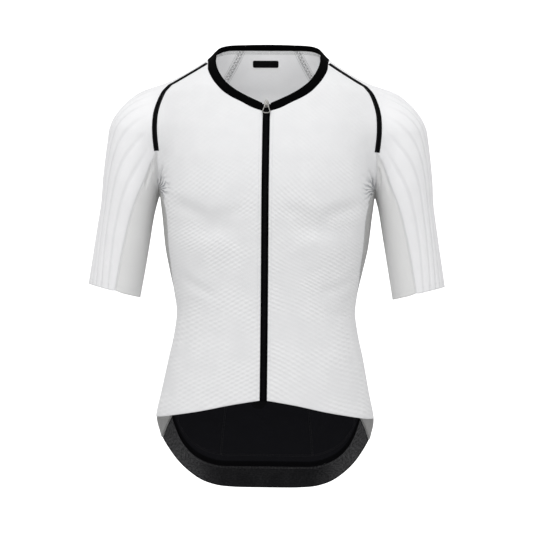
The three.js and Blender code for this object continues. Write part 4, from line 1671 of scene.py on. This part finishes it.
@dataclass
class Back(Part):
    """The white upper back, the black lower back and the gripper band round the tail."""

    roll: float = 2.2

    def build(self) -> None:
        """Makes the three pieces."""
        self.tailor.cloth(
            "back_upper", self._lay(self.pattern.back_upper(), down=7, across=6), self.finishes.white,
            "white_knit", Cut(0.41, 0.51, 0.62), ["collar_band"],
        )
        self.tailor.cloth(
            "back_lower", self._lay(self.pattern.back_lower(), down=9, across=6), self.finishes.back,
            "black_knit", Cut(0.41, 0.24, 0.76), ["back_upper"],
        )
        self.tailor.cloth(
            "hem_band", self._lay(self.pattern.hem_band(), down=6, across=8), self.finishes.gripper,
            "gripper_grey", Cut(0.445, 0.035, 0.8), ["back_lower"],
            outer=self._drawn_in(0.3), inner=self._drawn_in(-1.2),
        )

    def _drawn_in(self, height: float) -> Callable[[Lay], Points]:
        """A face of the band that draws in softly at its edges.

        Args:
            height: The face's full height above the form.

        Returns:
            What gives each point's height.
        """

        def face(lay: Lay) -> Points:
            """The height above the form.

            Args:
                lay: The band's grid.

            Returns:
                One height for each point.
            """
            full = smooth(0, self.roll, lay.edge)
            return height * (0.3 + 0.7 * full) - 0.45 * (1 - full)

        return face


@dataclass
class Collar(Part):
    """The stretch collar band, doubled over at its top."""

    middle: float = -0.6
    half_thick: float = 0.9

    def _face(self, sign: float) -> Callable[[Lay], Points]:
        """One face of the band, rounded over at its top edge.

        Args:
            sign: 1 for the outer face, -1 for the inner.

        Returns:
            What gives each point's height.
        """

        def height(lay: Lay) -> Points:
            """The height above the form.

            Args:
                lay: The band's grid.

            Returns:
                One height for each point.
            """
            top = smooth(0, 2.6, lay.from_top) ** 0.5
            foot = 0.55 + 0.45 * smooth(0, 1.5, lay.to_foot)
            return self.middle + sign * self.half_thick * np.maximum(top, 0.12) * foot

        return height

    def build(self) -> None:
        """Makes the band."""
        lay = self._lay(self.pattern.collar(), down=6, across=6)
        self.tailor.cloth(
            "collar_band", lay, self.finishes.collar, "collar_black", Cut(0.61, 0.021, 0.68),
            ["front_right", "front_left", "back_upper"], outer=self._face(1), inner=self._face(-1),
        )


@dataclass
class Tapes(Part):
    """The black tapes along the shoulder seams and the front armholes."""

    half: float = 4.1
    thick: float = 0.9
    clear_of_collar: float = 1.2

    def line(self) -> Points:
        """The right tape's middle line, from the collar down to its end.

        Returns:
            The points of the line.
        """
        line = chain(self.pattern.shoulder, self.pattern.armhole_front)
        line[0] = line[0] + unit(line[1] - line[0]) * self.clear_of_collar
        return line

    def build(self) -> None:
        """Makes both tapes."""
        grid = self.pattern.ribbon(self.line(), self.half)
        for side in Side:
            lay = self._lay(mirrored(grid, side), down=6, across=6)
            self.tailor.cloth(
                named("shoulder_tape", side), lay, self.finishes.tape, "black_tape",
                Cut(0.010, 0.193, 0.9), [named("front", side), named("sleeve_outer", side)],
                outer=self._crown, inner=0.05,
            )

    def _crown(self, lay: Lay) -> Points:
        """The tape's face, rounded down at both edges."""
        return 0.3 + self.thick * np.sqrt(smooth(0, 1.5, lay.edge))


@dataclass
class Pockets(Part):
    """The back pockets, one panel with two dividers, and the binding along their mouths."""

    rows: tuple[float, ...] = (0.8, 1, 2, 3, 4, 5, 5.55)
    binding_rows: tuple[float, ...] = (0.53, 0.66, 0.79)
    edges: tuple[int, ...] = (1, 5, 11, 15)
    gap: float = 0.3
    puff: float = 1.4
    binding: float = 1.6

    def from_back(self, rows: Sequence[float]) -> Points:
        """Rows of points on the lower back, between the pockets' two outer edges.

        Args:
            rows: Steps down the lower back's grid, whole or between two.

        Returns:
            The grid, one row for each.
        """
        grid = self.pattern.back_lower()
        lines = []
        for row in rows:
            above = min(int(row), len(grid) - 2)
            part = grid[above : above + 2, self.edges[0] : self.edges[-1] + 1]
            lines.append(part[0] + (part[1] - part[0]) * (row - above))
        return np.array(lines)

    def _swell(self, lay: Lay) -> Points:
        """The panel's face, which swells between the dividers and is drawn in along them.

        Args:
            lay: The panel's grid.

        Returns:
            One height for each point.
        """
        column = lay.column + self.edges[0]
        total = np.zeros(column.shape)
        for low, high in zip(self.edges, self.edges[1:]):
            inside = (column >= low) & (column <= high)
            across = np.clip((column - low) / (high - low), 0, 1)
            total = np.where(inside, np.sin(np.pi * across) ** 0.6, total)
        down = np.cos(np.pi / 2 * lay.t)
        sag = 0.5 * np.sin(np.pi * lay.s * 3 + 0.4) ** 2 * smooth(0.5, 0, lay.t)
        return self.gap + 0.7 + (self.puff + sag) * total * down

    def build(self) -> None:
        """Makes the panel and its binding."""
        self.tailor.cloth(
            "pocket_panel", self._lay(self.from_back(self.rows), down=7, across=8), self.finishes.back,
            "black_knit", Cut(0.36, 0.21, 0.85), ["back_lower"], outer=self._swell, inner=0.06,
        )
        self.tailor.cloth(
            "pocket_binding", self._lay(self.from_back(self.binding_rows), down=4, across=8),
            self.finishes.tape, "black_tape", Cut(0.33, 0.012, 0.9), ["pocket_panel"],
            outer=lambda lay: 0.5 + self.binding * np.sqrt(smooth(0, 2.5, lay.edge)), inner=0.06,
        )


@dataclass(frozen=True)
class SliderFrame:
    """The zip slider's own frame: X across, Y up the zip and Z out of it, in millimetres."""

    seat: tuple[float, float, float]
    out: tuple[float, float, float]

    def matrix(self) -> Matrix:
        """Places the slider's millimetres in the row frame's metres.

        Returns:
            The matrix.
        """
        out = Vector(self.out)
        across = Vector((1, 0, 0))
        up = out.cross(across)
        turn = Matrix((across, up, out)).transposed().to_4x4()
        return Matrix.Translation(Vector(self.seat) * MM) @ turn @ Matrix.Scale(MM, 4)


def outline_plate(
    bm: bmesh.types.BMesh,
    outline: Sequence[tuple[float, float]],
    low: float,
    high: float,
    hole: Sequence[tuple[float, float]] = (),
) -> None:
    """Raises an outline, with or without a hole, into a plate.

    Args:
        bm: The mesh that the plate is added to.
        outline: The plate's corners.
        low: The height of its back.
        high: The height of its front.
        hole: The hole's corners, as many as the outline has.
    """
    loops = []
    for corners in (outline, hole):
        verts = [bm.verts.new((x, y, low)) for x, y in corners]
        loops.append([bm.edges.new((a, b)) for a, b in zip(verts, verts[1:] + verts[:1])])
    if hole:
        faces = bmesh.ops.bridge_loops(bm, edges=loops[0] + loops[1])["faces"]
    else:
        faces = bmesh.ops.contextual_create(bm, geom=loops[0])["faces"]
    drawn = bmesh.ops.extrude_face_region(bm, geom=faces, use_keep_orig=True)["geom"]
    raised = [part for part in drawn if isinstance(part, bmesh.types.BMVert)]
    bmesh.ops.translate(bm, verts=raised, vec=(0, 0, high - low))


def soften(bm: bmesh.types.BMesh, offset: float, segments: int = 3, angle: float = 30.0) -> None:
    """Rounds every edge that is sharper than an angle.

    Args:
        bm: The mesh.
        offset: How far from the edge the rounding starts.
        segments: How many faces it has across.
        angle: The least angle that is rounded, in degrees.
    """
    bmesh.ops.recalc_face_normals(bm, faces=bm.faces[:])
    sharp = [edge for edge in bm.edges if edge.calc_face_angle(0) > math.radians(angle)]
    bmesh.ops.bevel(
        bm, geom=sharp, affect="EDGES", offset=offset, offset_type="OFFSET", segments=segments,
        profile=0.5, material=-1, clamp_overlap=True,
    )


def bell(
    top_half: float, top: float, half: float, flare: float, drop: float
) -> list[tuple[float, float]]:
    """The corners of a bell outline, wide and round at its foot.

    Args:
        top_half: Half of its width at the top.
        top: The height of its top.
        half: Half of its width where it is widest.
        flare: How far down it is widest.
        drop: How far down it reaches.

    Returns:
        The corners, in order round the outline.
    """
    corners = [(top_half, top), (-top_half, top), (-half, -flare)]
    turns, pull = 7, 0.8
    for start, end in (((-half, -flare), (0.0, -drop)), ((0.0, -drop), (half, -flare))):
        bend = (math.copysign(half * pull, start[0] + end[0]), -drop)
        for i in range(1, turns + 1):
            t = i / turns
            shares = ((1 - t) ** 2, 2 * t * (1 - t), t * t)
            corners.append(tuple(np.dot(shares, axis) for axis in zip(start, bend, end)))
    return corners


class Repeater:
    """Places one small shape many times in one mesh."""

    def __init__(self, shape: bmesh.types.BMesh) -> None:
        """Keeps the shape as a mesh.

        Args:
            shape: The shape, which is freed.
        """
        bmesh.ops.recalc_face_normals(shape, faces=shape.faces[:])
        self.shape = to_mesh(shape, "shape")
        self.corners = np.array([vert.co for vert in self.shape.vertices])

    def mesh(self, name: str, places: Points, axes: Points) -> bpy.types.Mesh:
        """Makes the mesh.

        Args:
            name: The mesh's name.
            places: Where each copy's middle goes, in millimetres.
            axes: Each copy's three axes as columns, scaled to its size.

        Returns:
            The mesh, in metres.
        """
        many = bmesh.new()
        for _ in range(len(places)):
            many.from_mesh(self.shape)
        mesh = to_mesh(many, name)
        points = np.einsum("nij,kj->nki", axes, self.corners) + places[:, None, :]
        mesh.vertices.foreach_set("co", (points * MM).astype(np.float32).ravel())
        mesh.shade_smooth()
        return mesh


@dataclass
class Zip(Part):
    """The front zip: tapes, coil, the patch behind its foot, slider and pull."""

    foot: float = -534.5
    tape_top: float = -72.5
    tape_columns: tuple[float, ...] = (2.9, 5.8, 9.4, 13.0)
    strip_top: float = -70.5
    strip_half: float = 3.0
    chain_top: float = -82.5
    pitch: float = 1.3
    tooth: tuple[float, float, float] = (2.7, 0.78, 1.5)
    tooth_aside: float = 1.15
    tooth_lean: float = 0.16
    patch_middle: float = -7.0
    patch_half: float = 13.0
    patch_top: float = -521.0
    patch_foot: float = -535.0
    slider_z: float = -73.5

    def _strip(self, columns: Sequence[float], top: float, rows: int = 36) -> Points:
        """A grid of points straight down the front."""
        lines = [self.pattern.level_line(x, top, self.foot, rows) for x in columns]
        return np.stack(lines, axis=1)

    def _tapes(self) -> None:
        """The woven tapes behind the front panels."""
        grid = self._strip(self.tape_columns, self.tape_top)
        for side in Side:
            lay = self._lay(mirrored(grid, side), down=3, across=3)
            self.tailor.cloth(
                named("zip_tape", side), lay, self.finishes.zip_tape, "zip_black",
                Cut(0.0102, 0.465), [named("front", side)], outer=-1.5, inner=-2.3,
            )

    def _chain(self) -> None:
        """The strip under the coil, and the coil's teeth in two rows."""
        grid = self._strip((-self.strip_half, 0.0, self.strip_half), self.strip_top)
        mesh = self.tailor.wall("zip_strip", self._lay(grid, down=3, across=3), -1.35, -2.2)
        strip = put("zip_strip", mesh, self.finishes.zip_tape, "zip_black")
        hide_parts("zip_chain")
        line = self.pattern.level_line(0.0, self.chain_top, self.foot + 1, 150)
        count = int(lengths_along(line)[-1] / (self.pitch / 2))
        middle = points_along(line, np.arange(count) * self.pitch / 2 + 0.4)
        out = self.tailor.form.normal(middle)
        across = np.tile([1.0, 0, 0], (count, 1))
        down = np.cross(out, across)
        turns = np.where(np.arange(count) % 2 == 0, 1.0, -1.0)[:, None]
        places = self.tailor.creased.raised(middle, -0.75) + across * turns * self.tooth_aside
        leaning = unit(across + down * turns * self.tooth_lean)
        axes = np.stack([leaning, down, out], axis=2) * np.array(self.tooth)
        tooth = bmesh.new()
        bmesh.ops.create_cube(tooth, size=1.0)
        soften(tooth, 0.3, segments=2)
        mesh = Repeater(tooth).mesh("zip_teeth", places, axes)
        put("zip_teeth", mesh, self.finishes.coil, "zip_black")

    def _patch(self) -> None:
        """The rounded patch behind the zip's foot."""
        across = np.array([-1, -0.85, -0.5, 0, 0.5, 0.85, 1])
        foot = self.patch_foot - self.patch_half * np.sqrt(1 - across**2)
        aside = self.patch_middle + self.patch_half * across
        lines = []
        for t in (0.0, 0.5, 1.0):
            heights = self.patch_top + (foot - self.patch_top) * t
            lines.append([self.tailor.form.lay((x, FRONT, z)) for x, z in zip(aside, heights)])
        self.tailor.cloth(
            "zip_base_patch", self._lay(np.array(lines), down=8, across=6), self.finishes.tape,
            "black_tape", Cut(0.026, 0.027, 0.9), ["zip_tape_left"], outer=-2.5, inner=-3.4,
        )

    def _frame(self) -> SliderFrame:
        """The slider's frame on the garment."""
        seat = self.tailor.form.lay((0, FRONT, self.slider_z))
        return SliderFrame(tuple(seat), tuple(self.tailor.form.normal(seat)))

    def _slider(self) -> None:
        """The slider's two plates, its post and the bridge that holds the pull."""
        half = [(2.9, -6.6), (4.0, -3.4), (4.05, -2.0), (3.6, 2), (2, 5.8), (0.9, 6.8)]
        outline = half + [(-x, y) for x, y in reversed(half)]
        body = bmesh.new()
        outline_plate(body, outline, 0.8, 2.0)
        outline_plate(body, outline, -4.1, -2.9)
        outline_plate(body, [(1.2, 4), (1.2, 6), (-1.2, 6), (-1.2, 4)], -3.9, 1.8)
        soften(body, 0.4)
        bridge = [
            (-5.9, 1.8), (-5.75, 3.8), (-4.6, 5.2), (-2.6, 5.55), (-0.6, 5.2), (0.55, 3.8), (0.7, 1.8),
            (-0.25, 1.8), (-0.35, 3.5), (-1.1, 4.4), (-2.6, 4.65), (-4.1, 4.4), (-4.85, 3.5), (-4.95, 1.8),
        ]
        arch = bmesh.new()
        outline_plate(arch, bridge, -0.9, 0.9)
        soften(arch, 0.28)
        turn = Matrix(((0, 0, 1, 0), (1, 0, 0, 0), (0, 1, 0, 0), (0, 0, 0, 1)))
        bmesh.ops.transform(arch, matrix=turn, verts=arch.verts[:])
        self._put_hard("zip_slider", [body, arch], BODY)

    def _pull(self) -> None:
        """The bell-shaped pull, its wire rounded."""
        outer = bell(2.7, 0.7, 6.9, 11.6, 15.0)
        hole = bell(1.3, -0.7, 5.2, 11.2, 13.3)
        loop = bmesh.new()
        outline_plate(loop, outer, -0.7, 0.7, hole)
        soften(loop, 0.45, segments=4, angle=50)
        bmesh.ops.translate(loop, verts=loop.verts[:], vec=(0, -2.6, 3.3))
        self._put_hard("zip_pull", [loop], "pull_tab")

    def _put_hard(self, node: str, parts: Sequence[bmesh.types.BMesh], body: str) -> None:
        """Joins parts in the slider's frame into one piece that stands for a CAD node.

        Args:
            node: The CAD node.
            parts: The parts, which are freed.
            body: The body that the piece rides on.
        """
        whole = bmesh.new()
        for part in parts:
            bmesh.ops.recalc_face_normals(part, faces=part.faces[:])
            whole.from_mesh(to_mesh(part, "part"))
        bmesh.ops.transform(whole, matrix=self._frame().matrix(), verts=whole.verts[:])
        made = to_mesh(whole, node)
        smoothed(made, METAL_ANGLE)
        piece = put(node + "_metal", made, self.finishes.metal, "zip_metal")
        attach(piece, body)
        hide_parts(node)

    def build(self) -> None:
        """Makes the whole zip."""
        self._tapes()
        self._chain()
        self._patch()
        self._slider()
        self._pull()


@dataclass
class NeckLabel(Part):
    """The plain rounded plate inside the back neck."""

    centre: float = -6.5
    half: float = 21.0
    top: float = 9.0
    bottom: float = -2.0
    corner: float = 2.4

    def _crown(self, lay: Lay) -> Points:
        """The plate's inner face, which stands off the cloth but for its edges."""
        return -1.3 - 0.6 * np.sqrt(smooth(0, 1.0, lay.edge))

    def build(self) -> None:
        """Makes the plate."""
        middle, tall = (self.top + self.bottom) / 2, (self.top - self.bottom) / 2
        lines = []
        for turn in np.linspace(-1, 1, 13):
            up = math.sin(turn * math.pi / 2) * tall
            past = max(abs(up) - (tall - self.corner), 0)
            half = self.half - self.corner + math.sqrt(max(self.corner**2 - past**2, 0))
            spots = [(self.centre + u * half, BACK, middle - up) for u in np.linspace(-1, 1, 15)]
            lines.append([self.tailor.form.lay(spot) for spot in spots])
        lay = self._lay(np.array(lines), down=1, across=2)
        mesh = self.tailor.wall("neck_label", lay, -1.0, self._crown)
        plate = put("neck_label_plate", mesh, self.finishes.label, "label_black")
        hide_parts("neck_label")


class Make(Enum):
    """How a run of stitches is laid."""

    LOCK = "one row of single stitches"
    TWIN = "two rows side by side"
    COVER = "two rows with threads that cross between them"


@dataclass(frozen=True)
class Run:
    """One run of stitches along a line, at a height above the form."""

    line: Points
    height: float
    make: Make = Make.TWIN
    aside: float = 0.0
    spread: float = 2.6
    pitch: float = 2.4


@dataclass
class Sewing(Part):
    """Every run of stitches that shows, inside and outside."""

    thread: float = 0.58
    inside: float = -1.05
    outside: float = 0.12
    on_tape: float = 1.25
    on_pocket: float = 1.15
    from_zip: float = 4.6
    from_cuff: float = 9.0
    cross_lean: float = 1.6
    places: dict[str, list[Points]] = field(default_factory=dict)
    axes: dict[str, list[Points]] = field(default_factory=dict)

    def _row(
        self, colour: str, run: Run, aside: float, lean: float = 0, length: float = 0.66, pitch: float = 0
    ) -> None:
        """Lays one row of stitches.

        Args:
            colour: The thread that it is sewn in.
            run: The run that it belongs to.
            aside: How far it lies to one side of the run's line.
            lean: How far each stitch leans across the row, by turns.
            length: Each stitch's length as a share of the pitch, or across the row if it leans.
            pitch: The stitches' pitch, or 0 for the run's.
        """
        form = self.tailor.form
        step = pitch or run.pitch
        fine = finer(run.line[:, None, :], 6, axis=0)[:, 0]
        middle = points_along(fine, np.arange(step / 2, lengths_along(fine)[-1], step))
        along = unit(np.gradient(middle, axis=0))
        out = form.normal(form.settle(middle, turns=3))
        across = unit(np.cross(out, along))
        middle = form.settle(middle + across * aside, turns=4)
        turns = np.where(np.arange(len(middle)) % 2 == 0, lean, -lean)[:, None]
        way = unit(along + across * turns)
        half = self.thread / 2
        sizes = np.array([step * length * (1 + abs(lean)) / 2, half, half])
        self.places.setdefault(colour, []).append(self.tailor.creased.raised(middle, run.height))
        self.axes.setdefault(colour, []).append(np.stack([way, np.cross(out, way), out], axis=2) * sizes)

    def sew(self, colour: str, *runs: Run) -> None:
        """Lays all the rows of some runs.

        Args:
            colour: The thread that they are sewn in.
            runs: The runs.
        """
        for run in runs:
            if run.make is Make.LOCK:
                self._row(colour, run, run.aside)
                continue
            for sign in (-1, 1):
                self._row(colour, run, run.aside + sign * run.spread / 2)
            if run.make is Make.COVER:
                pitch = run.spread * 0.6
                self._row(colour, run, run.aside, lean=self.cross_lean, length=0.95, pitch=pitch)

    def _behind(self, side: Side) -> None:
        """The seams that show through the neck and below the front hem, on one side.

        Args:
            side: The side.
        """
        shape, sign = self.pattern, side.value
        raglan = mirrored(shape.raglan, side)
        for spread in (3.4, 8.0, 13.0):
            self.sew("grey", Run(raglan, self.inside, aside=3.0 * sign, spread=spread, pitch=2.1))
        self.sew("grey", Run(raglan, self.inside, Make.COVER, aside=3.0 * sign, spread=5.6))
        self.sew("white", Run(raglan, self.outside, spread=3.0))
        neck = mirrored(chain(shape.neck_side[1:], shape.neck_back), side)
        for aside in (-1.2, -2.9, -4.6):
            self.sew("grey", Run(neck, self.inside - 0.2, aside=aside * sign, spread=1.7, pitch=1.9))
        tail = mirrored(chain(shape.side_back[10:], shape.band_end[::-1]), side)
        for spread in (2.2, 5.4):
            self.sew("black", Run(tail, self.inside - 0.75, aside=-2.4 * sign, spread=spread, pitch=2.2))
        for line in (shape.side_back[:11], shape.side_front):
            self.sew("white", Run(mirrored(line, side), self.inside, Make.COVER, spread=4.0))

    def _side(self, side: Side) -> None:
        """Every run on one side.

        Args:
            side: The side.
        """
        shape = self.pattern
        beside_zip = shape.level_line(ZIP_EDGE_X + self.from_zip, -88, -533, 60)
        self.sew("white", Run(mirrored(beside_zip, side), self.outside + 0.1, Make.LOCK))
        self._behind(side)
        seams = (
            shape.side_front, shape.side_back, shape.sleeve_front, shape.sleeve_back,
            shape.armhole_low, shape.armhole_back,
        )
        self.sew("white", *[Run(mirrored(line, side), self.outside) for line in seams])
        for outer, height in ((True, self.outside + 0.6), (False, self.outside)):
            rim = shape.cuff(outer, 26)
            hem = shape.form.settle(rim - shape.form.arm_line * self.from_cuff, turns=6)
            self.sew("white", Run(mirrored(hem, side), height, Make.LOCK, pitch=2.8))
        tape = Tapes(self.tailor, shape, self.finishes).line()
        self.sew("black", Run(mirrored(tape, side), self.on_tape, spread=5.6))

    def _middle(self) -> None:
        """The runs that cross the back."""
        band = self.pattern.across_back(self.pattern.band_top)
        self.sew("grey", Run(band, self.inside - 0.35, aside=2.4, spread=1.8))
        self.sew("black", Run(band, 0.35, aside=2.4, spread=2.0))
        pockets = Pockets(self.tailor, self.pattern, self.finishes)
        grid = pockets.from_back(np.linspace(pockets.rows[0], pockets.rows[-1], 20))
        self.sew("black", Run(grid[-1], self.inside - 0.1, spread=2.2))
        self.sew("black", Run(grid[-1], self.on_pocket, aside=-1.6, spread=2.0))
        for edge in pockets.edges:
            column = grid[:, edge - pockets.edges[0]]
            self.sew("black", Run(column, self.inside - 0.1, spread=2.4))
            self.sew("black", Run(column, self.on_pocket, spread=2.0))
        self.sew("black", Run(self.pattern.across_back(self.pattern.split_line()), self.outside))

    def build(self) -> None:
        """Makes one piece for each colour of thread."""
        for side in Side:
            self._side(side)
        self._middle()
        threads = {
            "white": (self.finishes.white_thread, "white_knit"),
            "grey": (self.finishes.grey_thread, "gripper_grey"),
            "black": (self.finishes.black_thread, "black_knit"),
        }
        # The bead's poles lie along the thread
        swing = np.array([[0, 0, 1], [1, 0, 0], [0, 1, 0]], float)
        for colour, (finish, slot) in threads.items():
            bead = bmesh.new()
            bmesh.ops.create_uvsphere(bead, u_segments=5, v_segments=4, radius=1.0)
            places, axes = np.concatenate(self.places[colour]), np.concatenate(self.axes[colour])
            mesh = Repeater(bead).mesh(f"stitches_{colour}", places, axes @ swing.T)
            put(f"stitches_{colour}", mesh, finish, slot)
            LOG.info("%s thread: %d stitches", colour, len(places))


@dataclass(frozen=True)
class Lamp:
    """A soft square light that faces the jersey, in metres and watts."""

    name: str
    place: tuple[float, float, float]
    size: float
    power: float
    aim: tuple[float, float, float] = (0.0, 0.0, -0.33)

    def hang(self) -> None:
        """Adds the light to the scene."""
        lamp = bpy.data.lights.new(self.name, "AREA")
        lamp.size = self.size
        lamp.energy = self.power
        holder = add_object(self.name, lamp)
        holder.location = self.place
        way = Vector(self.aim) - Vector(self.place)
        holder.rotation_euler = way.to_track_quat("-Z", "Y").to_euler()


LAMPS = (
    Lamp("key_light", (-1.0, -1.8, 1.1), 1.0, 9.0),
    Lamp("fill_light", (1.5, -2.0, 0.6), 1.6, 5.0),
    Lamp("top_light", (0.0, -1.1, 1.9), 1.2, 14.0),
)


@dataclass
class Studio:
    """A plain white room, soft lights and the camera, in metres and degrees."""

    floor_z: float = -1.0
    reach: float = 9.0
    air: float = 0.74
    distance: float = 3.5
    view_width: float = 0.8528
    view_middle: float = -0.327
    azimuth: float = 1.6
    roll: float = 0.55
    sensor: float = 36.0

    def _camera(self) -> None:
        """The photograph's view, almost straight on and very slightly turned."""
        azimuth, roll = math.radians(self.azimuth), math.radians(self.roll)
        lens = bpy.data.cameras.new("camera")
        lens.sensor_width = self.sensor
        lens.sensor_fit = "HORIZONTAL"
        lens.lens = self.sensor * self.distance / self.view_width
        holder = add_object("camera", lens)
        away = Vector((math.sin(azimuth), -math.cos(azimuth), 0))
        turn = (-away).to_track_quat("-Z", "Y").to_matrix() @ Matrix.Rotation(roll, 3, "Z")
        place = Vector((0, 0, self.view_middle)) + away * self.distance
        holder.matrix_world = Matrix.Translation(place) @ turn.to_4x4()
        bpy.context.scene.camera = holder

    def _room(self) -> None:
        """One closed white shell that is flat underfoot, which neither lights nor shades the jersey."""
        shell = bmesh.new()
        bmesh.ops.create_uvsphere(shell, u_segments=64, v_segments=32, radius=self.reach)
        for vert in shell.verts:
            vert.co.z = max(vert.co.z, self.floor_z)
        bmesh.ops.reverse_faces(shell, faces=shell.faces[:])
        mesh = to_mesh(shell, "room")
        mesh.shade_smooth()
        sockets = {
            "Base Color": (0.6, 0.6, 0.6, 1.0),
            "Specular IOR Level": 0.0,
            "Emission Color": (1.0, 1.0, 1.0, 1.0),
            "Emission Strength": 1.0,
            "Roughness": 1.0,
        }
        mesh.materials.append(Board("studio_white").surface(sockets))
        room = add_object("room", mesh)
        room.visible_diffuse = False
        room.visible_glossy = False
        room.visible_shadow = False

    def _air(self) -> None:
        """Even pale light from all round."""
        world = bpy.data.worlds.new("studio_air")
        world.use_nodes = True
        sockets = world.node_tree.nodes["Background"].inputs
        sockets["Color"].default_value = (1.0, 1.0, 1.0, 1.0)
        sockets["Strength"].default_value = self.air
        bpy.context.scene.world = world

    def build(self) -> None:
        """Makes the camera, the room and the lights."""
        self._camera()
        self._room()
        self._air()
        for lamp in LAMPS:
            lamp.hang()
        bpy.context.scene.view_settings.view_transform = "Standard"


def main() -> None:
    """Builds the jersey, its stage and its light."""
    logging.basicConfig(level=logging.INFO, format="%(name)s: %(message)s")
    Studio().build()
    form = GarmentForm()
    pattern = JerseyPattern(form)
    tailor = Tailor(CreasedForm(form, CREASES))
    finishes = Finishes()
    for part in (FrontPanels, SidePanels, Sleeves, Back, Collar, Tapes, Pockets, Zip, NeckLabel, Sewing):
        part(tailor, pattern, finishes).build()


if __name__ == "__main__":
    main()
